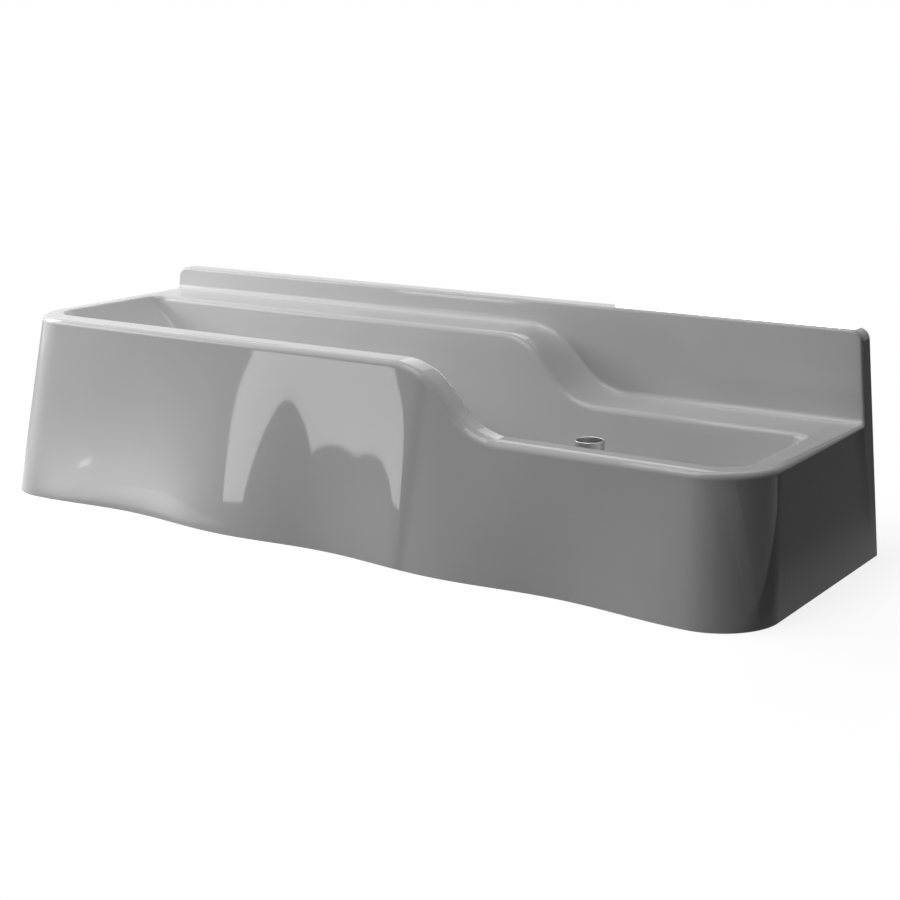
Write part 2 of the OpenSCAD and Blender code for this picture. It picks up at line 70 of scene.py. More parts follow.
DRAIN_X, DRAIN_REACH = 0.350, 0.257
DEPTH = max(FOOT_REACH_HIGH, FOOT_REACH_LOW)
waste_place = np.array([DRAIN_X, DEPTH / 2 - DRAIN_REACH, 0])

# Steps around and across the casting
SIDE_STEPS, CORNER_STEPS, END_STEPS = 24, 18, 8
LONG_STEPS, LEAD_STEPS, STEP_STEPS, SHORT_STEPS, LOW_END_STEPS = 56, 30, 64, 36, 4
FILLET_STEPS, EDGE_STEPS, COVE_STEPS, SKIRT_STEPS, UNDER_STEPS = 10, 8, 12, 14, 6

drop = HIGH_RIM - LOW_RIM
bend_run = STEP_RADIUS * np.sin(STEP_ANGLE)
bend_drop = STEP_RADIUS * (1 - np.cos(STEP_ANGLE))
step_run = 2 * bend_run + (drop - 2 * bend_drop) / np.tan(STEP_ANGLE)
step_start, step_end = STEP_X - step_run / 2, STEP_X + step_run / 2
floor_start = step_start - FLOOR_LEAD
cove_start = SPLASH_THICKNESS + COVE_RADIUS
cove_arc = COVE_RADIUS * np.pi / 2
side_mid = (RIM_REACH + DECK_REACH) / 2
# Slopes of the basin's high end, low end, front and back
WALL_ANGLES = np.array([RAMP_ANGLE, *(np.pi / 2 - np.array([END_DRAFT, BASIN_DRAFT, BASIN_DRAFT]))])


# -------- the casting's surface
def lerp(a, b, t):
    return a + (b - a) * t


def circle(count):
    """Angles of evenly spaced places around a circle."""
    return np.linspace(0, 2 * np.pi, count, endpoint=False)


def end_x(side, z):
    """x of an end of the casting: half the length, less the height times the tangent of its flare."""
    return side * (LENGTH / 2 - z * np.tan(np.where(np.asarray(side) < 0, END_FLARE_HIGH, END_FLARE_LOW)))


def rim_z(x):
    """Height of the rim: level, a circular bend, a slope, a bend the other way, level."""
    d = np.asarray(x, float) - step_start
    left = step_run - d
    arc = lambda v: np.sqrt(np.maximum(STEP_RADIUS ** 2 - v ** 2, 0))
    return HIGH_RIM - np.select([d <= 0, d < bend_run, left > bend_run, left > 0],
                                [0, STEP_RADIUS - arc(d), bend_drop + (d - bend_run) * np.tan(STEP_ANGLE),
                                 drop - STEP_RADIUS + arc(left)], drop)


def front_reach(z):
    return RIM_REACH + (LOW_RIM - z) * np.tan(FRONT_LEAN)


def basin_front(x):
    return front_reach(rim_z(x)) - FRONT_RIM_WIDTH


def basin_back(x):
    return DECK_REACH - (rim_z(x) - LOW_RIM) * np.tan(BASIN_DRAFT)


def extra_depth(x):
    """The floor steps down ahead of the rim, so the basin is deeper between the two."""
    return rim_z(x) - rim_z(x + FLOOR_LEAD)


def foot_reach(x):
    """Reach of the skirt's foot: full cosine waves between the two corners."""
    run = LENGTH / 2 - CORNER_RADIUS
    u = np.clip((x + run) / (2 * run), 0, 1)
    return lerp(FOOT_REACH_HIGH, FOOT_REACH_LOW, u) - WAVE_DEPTH / 2 * (1 - np.cos(2 * np.pi * WAVES * u))


# An outline in plan: two straight ends, round corners, and a front and a back that follow a
# function of x. Stations of its ends gather at the knee.
Outline = namedtuple("Outline", "high low front_corner back_corner front back knee spread")

# Between these, the stations of every outline have the same x
fixed_from = (end_x(-1, HIGH_RIM) + HIGH_END_RIM_WIDTH + BASIN_DEPTH / np.tan(RAMP_ANGLE)
              + FLOOR_FILLET * np.tan(RAMP_ANGLE / 2) + FLOOR_CORNER + END_MARGIN)
fixed_to = (end_x(1, LOW_RIM) - LOW_END_RIM_WIDTH - BASIN_DEPTH * np.tan(END_DRAFT)
            - FLOOR_FILLET - FLOOR_CORNER - END_MARGIN)


def half_stations():
    """Stations from the middle of the high end, along the front, to the middle of the low end.

    A row is [kind, end, t]: kind 0 side, 1 corner, 2 long; end -1 or 1, or 0 where t is an x.
    """
    def run(kind, end, values):
        values = np.asarray(values, float)
        return np.column_stack([np.full(len(values), kind), np.full(len(values), end), values])
    span = lambda a, b, steps, last=0: lerp(a, b, np.arange(steps + last) / steps)
    side = np.arange(1, SIDE_STEPS) / SIDE_STEPS
    corner = np.arange(CORNER_STEPS) / CORNER_STEPS
    return np.concatenate([
        run(0, -1, side), run(1, -1, corner), run(2, -1, np.arange(END_STEPS) / END_STEPS),
        run(2, 0, span(fixed_from, floor_start, LONG_STEPS)),
        run(2, 0, span(floor_start, step_start, LEAD_STEPS)),
        run(2, 0, span(step_start, step_end, STEP_STEPS)),
        run(2, 0, span(step_end, fixed_to, SHORT_STEPS, 1)),
        run(2, 1, np.arange(1, LOW_END_STEPS + 1) / LOW_END_STEPS),
        run(1, 1, corner[::-1]), run(0, 1, side[::-1])])


front_half = half_stations()
back_half = front_half[::-1] + [3, 0, 0]
kind, end, t = np.concatenate([front_half, back_half]).T
count = len(kind)
SIDE_FRONT, CORNER_FRONT, FRONT, SIDE_BACK, CORNER_BACK, BACK = [kind == k for k in range(6)]
corner_t = np.where(CORNER_FRONT | CORNER_BACK, t, 0)


def plan(o):
    """Places [x, reach] of every station on an outline: straight sides, quarter circles at the
    corners, and front and back at their functions' reach."""
    at_end = np.where(end < 0, o.high, o.low)
    turn = corner_t * np.pi / 2

    def along(corner):
        return np.select([end < 0, end > 0], [lerp(o.high + corner, fixed_from, t),
                                              lerp(fixed_to, o.low - corner, t)], t)
    front_x, back_x = along(o.front_corner), along(o.back_corner)
    corner_x = lambda corner: at_end - end * corner * (1 - np.cos(turn))
    front_end, back_end = o.front(at_end), o.back(at_end)
    ahead, behind = o.knee + o.spread, o.knee - o.spread
    side_back = np.select([t < SPLASH_FROM, t < 1 - SPLASH_FROM],
                          [np.interp(t, [0, SPLASH_FROM], [side_mid, ahead]),
                           np.interp(t, [SPLASH_FROM, 1 - SPLASH_FROM], [ahead, behind])],
                          lerp(behind, back_end + o.back_corner, (t - 1 + SPLASH_FROM) / SPLASH_FROM))
    groups = [SIDE_FRONT, CORNER_FRONT, FRONT, SIDE_BACK, CORNER_BACK]
    x = np.select(groups, [at_end, corner_x(o.front_corner), front_x,
                           at_end, corner_x(o.back_corner)], back_x)
    reach = np.select(groups, [lerp(side_mid, front_end - o.front_corner, t),
                               front_end - o.front_corner * (1 - np.sin(turn)), o.front(front_x),
                               side_back, back_end + o.back_corner * (1 - np.sin(turn))], o.back(back_x))
    return np.column_stack([x, reach])


def mix(values):
    """Values [high end, low end, front, back] at every station; a squared sine blends them in a corner."""
    at_end = np.where(end < 0, values[0], values[1])
    s = np.sin(corner_t * np.pi / 2) ** 2
    return np.select([FRONT, BACK, CORNER_FRONT, CORNER_BACK],
                     [values[2], values[3], lerp(at_end, values[2], s), lerp(at_end, values[3], s)], at_end)


def basin(inset, front_corner, back_corner, deeper=0):
    """Outline of the basin, moved inwards by one inset for each wall."""
    return Outline(end_x(-1, HIGH_RIM) + HIGH_END_RIM_WIDTH + inset[0],
                   end_x(1, LOW_RIM) - LOW_END_RIM_WIDTH - inset[1], front_corner, back_corner,
                   lambda x: basin_front(x) - inset[2] - deeper * extra_depth(x) * np.tan(BASIN_DRAFT),
                   lambda x: basin_back(x) + inset[3] + deeper * extra_depth(x) * np.tan(BASIN_DRAFT),
                   (side_mid + DECK_REACH) / 2, BASIN_GATHER)


def outer_edge(r, out):
    """Outline of the casting's outer edge, moved outwards; its back lies on the unfolded backsplash."""
    return Outline(end_x(-1, HIGH_RIM) + r - out, end_x(1, LOW_RIM) - r + out,
                   CORNER_RADIUS - r + out, SPLASH_CORNER + out,
                   lambda x: front_reach(rim_z(x)) - r + out,
                   lambda x: cove_start - cove_arc + COVE_RADIUS + rim_z(x) + r - SPLASH_TOP - out,
                   cove_start - cove_arc / 2, cove_arc / 2)


splash_share = np.select([CORNER_BACK | BACK, SIDE_BACK], [1, np.minimum(1, t / SPLASH_FROM)], 0.0)


def fold(p, h):
    """Deck, cove and backsplash are one strip: past the cove's start it bends up around the cove's
    circle and goes on straight, and the ends lean in with the height. h lifts a place off it."""
    x, reach = p.T
    rim, side = rim_z(x), np.sign(x)
    past = cove_start - reach
    angle = np.clip(past / cove_arc, 0, 1) * np.pi / 2
    rise = rim + COVE_RADIUS - (COVE_RADIUS - h) * np.cos(angle) + np.maximum(0, past - cove_arc)
    flat = past <= 0
    return np.column_stack([
        np.where(flat, x, x * end_x(side, rise) / end_x(side, rim)),
        np.where(flat, reach, cove_start - (COVE_RADIUS - h) * np.sin(angle)),
        np.where(flat, rim + h, rise)])


def fold_at_wall(p, inset):
    """The foot and the back edge are one line: behind the wall plane, the rest of its reach is height."""
    x, reach = p.T
    z, side = np.maximum(0, -reach), np.sign(x)
    return np.column_stack([x * (end_x(side, z) - side * inset) / (end_x(side, 0) - side * inset),
                            np.maximum(0, reach), z])


def floor_ring(s):
    """Fillet between floor, s = 0, and wall, s = 1: a circle tangent to both."""
    r, a = FLOOR_FILLET, WALL_ANGLES
    inset = BASIN_DEPTH / np.tan(a) + r * (np.tan(a / 2) - np.sin(a * s))
    p = plan(basin(inset, lerp(FLOOR_CORNER, BASIN_CORNER_FRONT - FLOOR_TAPER, s),
                   lerp(FLOOR_CORNER, BASIN_CORNER_BACK, s), 1))
    z = rim_z(p[:, 0] + FLOOR_LEAD) + mix(r * (1 - np.cos(a * s)) - BASIN_DEPTH)
    return np.column_stack([p, z + FLOOR_FALL * np.abs(p[:, 0] - DRAIN_X) * (1 - s)])


def basin_edge(s):
    r, a = EDGE_RADIUS, WALL_ANGLES
    return basin(r * (np.sin(a * (1 - s)) - np.tan(a / 2)),
                 BASIN_CORNER_FRONT + r * s, BASIN_CORNER_BACK + r * s)


def basin_edge_ring(s):
    """Rounded inner edge: from the wall, s = 0, to the level rim, s = 1, on a circle."""
    return fold(plan(basin_edge(s)), mix(EDGE_RADIUS * (np.cos(WALL_ANGLES * (1 - s)) - 1)))


def edge_place(a):
    """The outer edge is rounder along the rim than along the backsplash."""
    return lerp(plan(outer_edge(EDGE_RADIUS, EDGE_RADIUS * np.sin(a))),
                plan(outer_edge(SPLASH_EDGE, SPLASH_EDGE * np.sin(a))), splash_share[:, None])


def deck_ring(k):
    """Ring k of the deck ends on bend k of the cove, and its side stations wait there in turn."""
    q = (k + 1) / (COVE_STEPS + 2)
    bend = cove_start - cove_arc * k / COVE_STEPS
    a, b = plan(basin_edge(1)), edge_place(0)
    back = CORNER_BACK | BACK
    past = (np.where(back, 1, np.where(SIDE_BACK, t, 0)) - SPLASH_FROM) * SIDE_STEPS
    reach = np.select([back, SIDE_BACK & (past > -0.5)], [bend, np.maximum(bend, b[:, 1])],
                      lerp(a[:, 1], b[:, 1], q))
    late = np.maximum(0, past - k)
    return fold(np.column_stack([lerp(a[:, 0], b[:, 0], q) - np.sign(end) * CORNER_SLIP * late, reach]), 0)


def edge_ring(s):
    """Rounded outer edge: from the level rim, s = 0, over a quarter circle to the face, s = 1."""
    a = s * np.pi / 2
    return fold(edge_place(a), lerp(EDGE_RADIUS, SPLASH_EDGE, splash_share) * (np.cos(a) - 1))


def foot_ring(inset, back_corner, back):
    """The skirt's foot moved inwards, with a back that is folded up along the wall."""
    return fold_at_wall(plan(Outline(
        inset - LENGTH / 2, LENGTH / 2 - inset, CORNER_RADIUS - inset, back_corner,
        lambda x: foot_reach(x) - inset, back, 0, FOOT_GATHER)), inset)


def ceiling_ring():
    p = plan(Outline(end_x(-1, HIGH_RIM - WALL) + WALL, end_x(1, LOW_RIM - WALL) - WALL,
                     CORNER_RADIUS - WALL, LIP_CORNER, lambda x: front_reach(rim_z(x) - WALL) - WALL,
                     lambda x: CEILING_STRIP + 0 * x, 2 * (CEILING_STRIP + BASIN_GATHER), BASIN_GATHER))
    return np.column_stack([p, rim_z(p[:, 0]) - WALL])


def under_rim_ring():
    a = WALL_ANGLES
    p = plan(basin(WALL / np.tan(a) - WALL / np.sin(a), BASIN_CORNER_FRONT + WALL, BASIN_CORNER_BACK + WALL))
    return np.column_stack([p, rim_z(p[:, 0]) - WALL])


def under_floor_ring(s):
    """Underside of the fillet: its circle, larger by the wall."""
    r, a = FLOOR_FILLET + WALL, WALL_ANGLES
    inset = BASIN_DEPTH / np.tan(a) + FLOOR_FILLET * np.tan(a / 2) - r * np.sin(a * s)
    p = plan(basin(inset, lerp(FLOOR_CORNER, BASIN_CORNER_FRONT, s) + WALL / 2,
                   lerp(FLOOR_CORNER, BASIN_CORNER_BACK, s) + WALL / 2, 1))
    z = mix(FLOOR_FILLET - BASIN_DEPTH - r * np.cos(a * s))
    return np.column_stack([p, rim_z(p[:, 0] + FLOOR_LEAD) + z])


def casting_rings():
    """Rings from the basin floor over the rim and down the skirt, then back underneath."""
    steps = lambda n, first=0: np.arange(first, n + 1) / n
    brow = edge_ring(1)
    foot = foot_ring(0, SPLASH_CORNER + SPLASH_EDGE, lambda x: -SPLASH_TOP + 0 * x)
    lip = foot_ring(WALL, LIP_CORNER, lambda x: WALL - rim_z(x))
    return np.array([floor_ring(s) for s in steps(FILLET_STEPS)]
                    + [basin_edge_ring(s) for s in steps(EDGE_STEPS)]
                    + [deck_ring(k) for k in range(COVE_STEPS + 1)]
                    + [edge_ring(s) for s in steps(EDGE_STEPS)]
                    + [lerp(brow, foot, s) for s in steps(SKIRT_STEPS, 1)]
                    + [lip, ceiling_ring(), under_rim_ring()]
                    + [under_floor_ring(s) for s in steps(UNDER_STEPS)[::-1]])


def cap_faces():
    """Closes a ring: a fan at each end and a ladder between front and back."""
    ends = SIDE_STEPS + CORNER_STEPS - 1
    k = np.arange(2 * ends + 2)
    fans = []
    for loop in ((ends - k + count) % count, count // 2 + ends - k):
        fans.append(np.column_stack([np.full(len(loop) - 2, loop[0]), loop[1:-1], loop[2:]]))
    k = np.arange(ends, count // 2 - 1 - ends)
    ladder = [np.column_stack([k, count - 1 - k, count - 2 - k]), np.column_stack([k, count - 2 - k, k + 1])]
    return np.concatenate(fans + ladder)


# -------- making pieces
def add_object(name, data):
    made = bpy.data.objects.new(name, data)
    bpy.context.scene.collection.objects.link(made)
    return made


def new_mesh(name, points, faces):
    mesh = bpy.data.meshes.new(name)
    mesh.from_pydata(points, [], faces)
    mesh.validate()
    return mesh


def smooth(mesh, sharp=30):
    """Smooth shading but for edges sharper than an angle in degrees."""
    mesh.shade_smooth()
    mesh.set_sharp_from_angle(angle=np.radians(sharp))


def piece(name, mesh, slot, body="trough", node=None, sharp=30):
    """A piece that rides on a body, in place of a node if it has one; the slot is not used."""
    made = add_object(name, mesh)
    smooth(mesh, sharp)
    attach(made, body)
    if node:
        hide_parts(node)
    return made


def grid_faces(rows, columns):
    """Quads between neighbouring rows of a grid whose last column is joined to the first."""
    r, c = np.meshgrid(np.arange(rows - 1), np.arange(columns), indexing="ij")
    a = (r * columns + c).ravel()
    b = (r * columns + (c + 1) % columns).ravel()
    return np.column_stack([a, b, b + columns, a + columns])


def capped_faces(rows, columns):
    """The same grid closed by a flat face over its first and its last row."""
    last = np.arange(columns) + (rows - 1) * columns
    return grid_faces(rows, columns).tolist() + [list(range(columns))[::-1], last.tolist()]


def ring_faces(rows, columns):
    """Quads of a grid that is closed both ways, such as a ring's."""
    a = np.arange(rows * columns).reshape(rows, columns)
    up = np.roll(a, -1, 0)
    return np.stack([a, np.roll(a, -1, 1), np.roll(up, -1, 1), up], -1).reshape(-1, 4)


def at_places(points, faces, places):
    """The same shape at several places, as one set of points and faces."""
    points, places = points.reshape(-1, 3), np.atleast_2d(places)
    moved = (points[None] + places[:, None]).reshape(-1, 3)
    return moved, [[k + n * len(points) for k in face] for n in range(len(places)) for face in faces]


def solve_booleans(obj, cutters):
    """Applies unions and differences, each a (solid, operation), then removes the tools."""
    for solid, operation in cutters:
        step = obj.modifiers.new(solid.name, "BOOLEAN")
        step.operation, step.solver, step.object = operation, "EXACT", solid
    mesh = bpy.data.meshes.new_from_object(obj.evaluated_get(bpy.context.evaluated_depsgraph_get()))
    obj.modifiers.clear()
    obj.data = mesh
    for solid, _ in cutters:
        bpy.data.objects.remove(solid)


def eased(corners, radius, steps=4):
    """A closed outline with each corner C rounded by a circular arc between tangent points A and B,
    P(s) = ((1-s)^2 A + 2s(1-s) w C + s^2 B) / ((1-s)^2 + 2s(1-s) w + s^2), w the cosine of half the turn."""
    c = np.asarray(corners, float)
    unit = lambda v: v / np.linalg.norm(v, axis=1, keepdims=True)
    u, v = unit(c - np.roll(c, 1, 0)), unit(np.roll(c, -1, 0) - c)
    half = np.arccos(np.clip((u * v).sum(1), -1, 1)) / 2
    back = (np.broadcast_to(radius, len(c)) * np.tan(half))[:, None, None]
    w, s = np.cos(half)[:, None, None], np.linspace(0, 1, steps + 1)[None, :, None]
    a, b, c = c[:, None] - back * u[:, None], c[:, None] + back * v[:, None], c[:, None]
    weights = (1 - s) ** 2, 2 * s * (1 - s) * w, s ** 2
    return ((weights[0] * a + weights[1] * c + weights[2] * b) / sum(weights)).reshape(-1, 2)


def dense(outline, gap):
    """The same closed outline with more points, so that none are further apart than the gap."""
    closed = np.vstack([outline, outline[:1]])
    along = np.r_[0, np.cumsum(np.linalg.norm(np.diff(closed, axis=0), axis=1))]
    extra = np.arange(0, along[-1], gap)
    at = np.unique(np.round(np.r_[along[:-1], extra], 7))
    return np.column_stack([np.interp(at, along, closed[:, k]) for k in (0, 1)])


def turned_points(profile, segments, radius=None):
    """A profile of [radius, z] carried around the Z axis; radius(r, angle, z) may change it."""
    profile = np.asarray(profile, float)
    a = circle(segments)
    r, z = profile[:, :1] + 0 * a, profile[:, 1:] + 0 * a
    r = radius(r, a, z) if radius else r
    return np.stack([r * np.cos(a), r * np.sin(a), z], axis=-1)


def turned_ring(name, node, outline, body="trough", segments=128, radius=None, places=waste_place):
    """A ring turned from a closed outline, anticlockwise in [radius, z], in place of a node."""
    points = turned_points(outline, segments, radius)
    points, faces = at_places(points, ring_faces(*points.shape[:2]).tolist(), places)
    return piece(name, new_mesh(name, points, faces), node, body, node)


def thread(crest, depth, pitch, low, high):
    """A screw thread in a blank of the crest's radius: r = crest - depth g, where g is the triangle
    wave |2 frac(z / pitch - angle / 2 pi) - 1| with blunted tops, fading out at both ends."""
    def radius(r, a, z):
        wave = np.abs(2 * ((z / pitch - a / (2 * np.pi)) % 1) - 1)
        run = np.clip(np.minimum(z - low, high - z) / pitch, 0, 1)
        cut = crest - depth * run * np.clip(1.3 * wave - 0.15, 0, 1)
        return np.where((r > crest - 1e-5) & (run > 0), cut, r)
    return radius


def hexagon(apothem, low, high, blunt=0.0004):
    """Six flats between two heights: r is at most apothem / cos(turn from the middle of the flat)."""
    def radius(r, a, z):
        flat = apothem / np.cos(a % (np.pi / 3) - np.pi / 6)
        flat = np.minimum(flat, 2 * apothem / np.sqrt(3) - blunt)
        return np.where((z >= low) & (z <= high), np.minimum(r, flat), r)
    return radius


# -------- casting
floor_z = LOW_RIM - BASIN_DEPTH
FLANGE_RADIUS, FLANGE_THICKNESS, SEAL_THICKNESS = 0.038, 0.003, 0.002
TAIL_RADIUS, THROAT_RADIUS, TAIL_END = 0.0239, 0.019, 0.020
BOSS_RADIUS, BOSS_HEIGHT, BOSS_OVERLAP, BOSS_EASE = 0.048, 0.006, 0.004, 0.0015
MOUTH_BELOW, MOUTH_ABOVE, PLUG_SEGMENTS = 0.0006, 0.0008, 160
HOLE_RADIUS, RECESS_RADIUS, RECESS_MOUTH = TAIL_RADIUS + 0.0016, FLANGE_RADIUS + 0.001, FLANGE_RADIUS + 0.0022
seat_z = floor_z - FLANGE_THICKNESS - SEAL_THICKNESS
boss_z = floor_z - WALL - BOSS_HEIGHT


def plug(name, rows):
    """A solid turned about the waste's axis, from rows of [radius, z] going up, with flat ends."""
    points = turned_points(rows, PLUG_SEGMENTS).reshape(-1, 3) + waste_place
    return add_object(name, new_mesh(name, points, capped_faces(len(rows), PLUG_SEGMENTS)))


def make_casting():
    """The casting's rings, closed at the floor and beneath it, with the waste's boss, hole and recess.
    The attribute raw is 1 on its unfinished back."""
    rings = casting_rings()
    points = np.stack([rings[..., 0], DEPTH / 2 - rings[..., 1], rings[..., 2]], -1).reshape(-1, 3)
    caps = cap_faces()
    last = (len(rings) - 1) * count
    faces = grid_faces(len(rings), count).tolist() + caps.tolist() + (caps[:, ::-1] + last).tolist()
    body = piece("casting", new_mesh("casting", points, faces), "trough_body", node="trough_body")
    lip = len(rings) - UNDER_STEPS - 4
    raw = body.data.attributes.new("raw", "FLOAT", "POINT")
    raw.data.foreach_set("value", np.repeat((np.arange(len(rings)) > lip).astype(np.float32), count))
    past = 0.01
    boss = plug("boss", [[BOSS_RADIUS - BOSS_EASE, boss_z], [BOSS_RADIUS, boss_z + BOSS_EASE],
                         [BOSS_RADIUS, boss_z + BOSS_HEIGHT + BOSS_OVERLAP]])
    hole = plug("tail hole", [[HOLE_RADIUS, boss_z - past], [HOLE_RADIUS, floor_z + past]])
    recess = plug("flange recess", [
        [RECESS_RADIUS, seat_z], [RECESS_RADIUS, floor_z - MOUTH_BELOW],
        [RECESS_MOUTH, floor_z + MOUTH_ABOVE], [RECESS_MOUTH, floor_z + 2 * past]])
    solve_booleans(body, [(boss, "UNION"), (hole, "DIFFERENCE"), (recess, "DIFFERENCE")])
    smooth(body.data)
    return body


casting = make_casting()

# -------- waste and standpipe
NUT_APOTHEM, NUT_THICKNESS, NUT_FLANGE, NUT_FLANGE_RADIUS = 0.031, 0.012, 0.003, 0.0375
SLIP_THICKNESS, SEAL_BORE, FIT = 0.0015, 0.0244, 0.00005
TAIL_PITCH, TAIL_CUT = 0.00231, 0.00148
slip_z = boss_z - SEAL_THICKNESS - SLIP_THICKNESS
nut_z = slip_z - NUT_THICKNESS

flange_z = floor_z - FLANGE_THICKNESS
flange_outline = dense(eased(
    [[THROAT_RADIUS, TAIL_END], [TAIL_RADIUS, TAIL_END], [TAIL_RADIUS, flange_z], [FLANGE_RADIUS, flange_z],
     [FLANGE_RADIUS, floor_z], [THROAT_RADIUS + 0.0015, floor_z], [THROAT_RADIUS, floor_z - 0.006]],
    [0.0005, 0.0012, 0.0004, 0.0005, 0.0014, 0.0006, 0.0015]), TAIL_PITCH / 8)
flange = turned_ring("waste_with_flange", "waste_flange", flange_outline, radius=thread(
    TAIL_RADIUS, TAIL_CUT, TAIL_PITCH, TAIL_END + 0.001, flange_z - 0.003))


def washer_outline(outer, inner, low, high, ease):
    return eased([[inner, low], [outer, low], [outer, high], [inner, high]], ease)


gasket, lower, slip = [
    turned_ring(name, node, washer_outline(FLANGE_RADIUS, SEAL_BORE, low, high, ease))
    for name, node, low, high, ease in (
        ("flange_gasket", "waste_gasket", seat_z, flange_z, 0.0004),
        ("lower_rubber_washer", "lower_seal", boss_z - SEAL_THICKNESS, boss_z, 0.0006),
        ("slip_ring", "slip_washer", slip_z, slip_z + SLIP_THICKNESS, 0.0003))]

nut_corner, nut_bore, nut_top = 2 * NUT_APOTHEM / np.sqrt(3), TAIL_RADIUS + FIT, nut_z + NUT_THICKNESS
nut_outline = dense(eased(
    [[nut_bore + 0.0011, nut_z], [NUT_APOTHEM + 0.0002, nut_z], [nut_corner, nut_z + 0.0026],
     [nut_corner, nut_top - NUT_FLANGE], [NUT_FLANGE_RADIUS, nut_top - NUT_FLANGE],
     [NUT_FLANGE_RADIUS, nut_top], [nut_bore + 0.0005, nut_top], [nut_bore, nut_top - 0.0005],
     [nut_bore, nut_z + 0.0011]],
    [0.0003, 0.0004, 0.0004, 0.0006, 0.0008, 0.0006, 0.0002, 0.0002, 0.0003]), 0.0006)
nut = turned_ring("backnut", "waste_nut", nut_outline, segments=180,
                  radius=hexagon(NUT_APOTHEM, nut_z - FIT, nut_top - NUT_FLANGE - 0.0002))

PIPE_RADIUS, PIPE_WALL, COLLAR, SOCKET, SPIGOT = 0.022, 0.002, 0.006, 0.010, 0.025
COLLAR_GAP, TOP_BELOW_RIM, SEAL_BELOW_FLOOR = 0.0003, 0.021, 0.012
SPIGOT_RADIUS, SPIGOT_BORE, GROOVE, SEAL_SECTION, SEAL_CENTRE = 0.0184, 0.015, 0.0021, 0.0024, 0.0175
pipe_foot, pipe_top = floor_z + COLLAR_GAP + COLLAR, LOW_RIM - TOP_BELOW_RIM
collar_z = pipe_foot - COLLAR
tube = turned_ring("standpipe_barrel", "standpipe_tube", dense(eased(
    [[PIPE_RADIUS - PIPE_WALL, pipe_foot], [PIPE_RADIUS, pipe_foot],
     [PIPE_RADIUS, pipe_top], [PIPE_RADIUS - PIPE_WALL, pipe_top]],
    [0.0003, 0.0003, 0.00098, 0.00098], 8), 0.004), "standpipe", 160)

spigot, bore, groove = SPIGOT_RADIUS, SPIGOT_BORE, SPIGOT_RADIUS - GROOVE
socket, seal_z = PIPE_RADIUS - PIPE_WALL - FIT, floor_z - SEAL_BELOW_FLOOR
lip, end_z = SEAL_SECTION / 2 + FIT, collar_z - SPIGOT
foot = turned_ring("standpipe_plug", "standpipe_foot", dense(eased(
    [[bore, end_z], [spigot - 0.0015, end_z], [spigot, end_z + 0.003], [spigot, seal_z - lip],
     [groove, seal_z - lip], [groove, seal_z + lip], [spigot, seal_z + lip], [spigot, collar_z],
     [PIPE_RADIUS, collar_z], [PIPE_RADIUS, pipe_foot], [socket, pipe_foot],
     [socket, pipe_foot + SOCKET - 0.001], [socket - 0.001, pipe_foot + SOCKET], [bore, pipe_foot + SOCKET]],
    [0.0006, 0.0006, 0.0006, 0.0002, 0.0002, 0.0002, 0.0002, 0.0003,
     0.0008, 0.0004, 0.0003, 0.0004, 0.0004, 0.0008], 3), 0.002), "standpipe")

section = np.column_stack([SEAL_CENTRE + SEAL_SECTION / 2 * np.cos(circle(24)),
                           seal_z + SEAL_SECTION / 2 * np.sin(circle(24))])
ring_seal = turned_ring("seal_ring", "standpipe_seal", section, "standpipe")

# -------- blocks, brackets and fixings
BRACKETS = {"high": (-0.330, 0.150), "low": (0.520, 0.053)}  # x, and height of the arm's top
ARM_WIDTH, ARM, ARM_REACH, PLATE = 0.060, 0.005, 0.336, 0.006
PLATE_LOW, PLATE_HIGH = 0.020, 0.184
BLOCK_WIDTH, BLOCK, BLOCK_FROM, BLOCK_TO, PAD = 0.110, 0.025, 0.180, 0.320, 0.003
SCREW_SIDE, SCREW_NEAR, SCREW_FAR, SCREW, WASHER = 0.018, 0.205, 0.295, 0.004, 0.0016
HEAD_APOTHEM, HEAD = 0.0065, 0.0053
INSERT_RADIUS, INSERT, SCREW_END = 0.006, 0.018, 0.002
screws = np.array([[x + side * SCREW_SIDE, DEPTH / 2 - reach, z]
                   for x, z in BRACKETS.values() for side in (-1, 1) for reach in (SCREW_NEAR, SCREW_FAR)])


def eased_copy(name, node, width):
    """A node's own solid, merged, with its edges rounded to a width."""
    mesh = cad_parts[node].data.copy()
    mesh.materials.clear()
    work = bmesh.new()
    work.from_mesh(mesh)
    bmesh.ops.remove_doubles(work, verts=work.verts, dist=1e-6)
    bmesh.ops.dissolve_limit(work, angle_limit=np.radians(1), verts=work.verts, edges=work.edges)
    work.to_mesh(mesh)
    work.free()
    made = piece(name, mesh, node, node=node)
    bevel = made.modifiers.new("eased edges", "BEVEL")
    bevel.width, bevel.segments = width, 3
    bevel.limit_method, bevel.angle_limit = "ANGLE", np.radians(40)
    bevel.use_clamp_overlap = bevel.harden_normals = True
    return made


blocks = [eased_copy(f"bonded_block_{level}", f"fixing_block_{level}", 0.0012) for level in BRACKETS]
brackets = [eased_copy(f"wall_bracket_{level}", f"bracket_{level}", 0.0006) for level in BRACKETS]
pads = eased_copy("rubber_arm_pads", "arm_pads", 0.0005)


BEAD, RIPPLE, BEAD_COLUMNS = 0.0023, 0.0035, 12
GUSSET_HEIGHT, GUSSET_DEPTH, PLATE_MARGIN = 0.090, 0.080, 0.004
WEB_TIP, WEB_FOOT, WELD_START, WELD_END = 0.010, 0.008, 0.004, 0.003


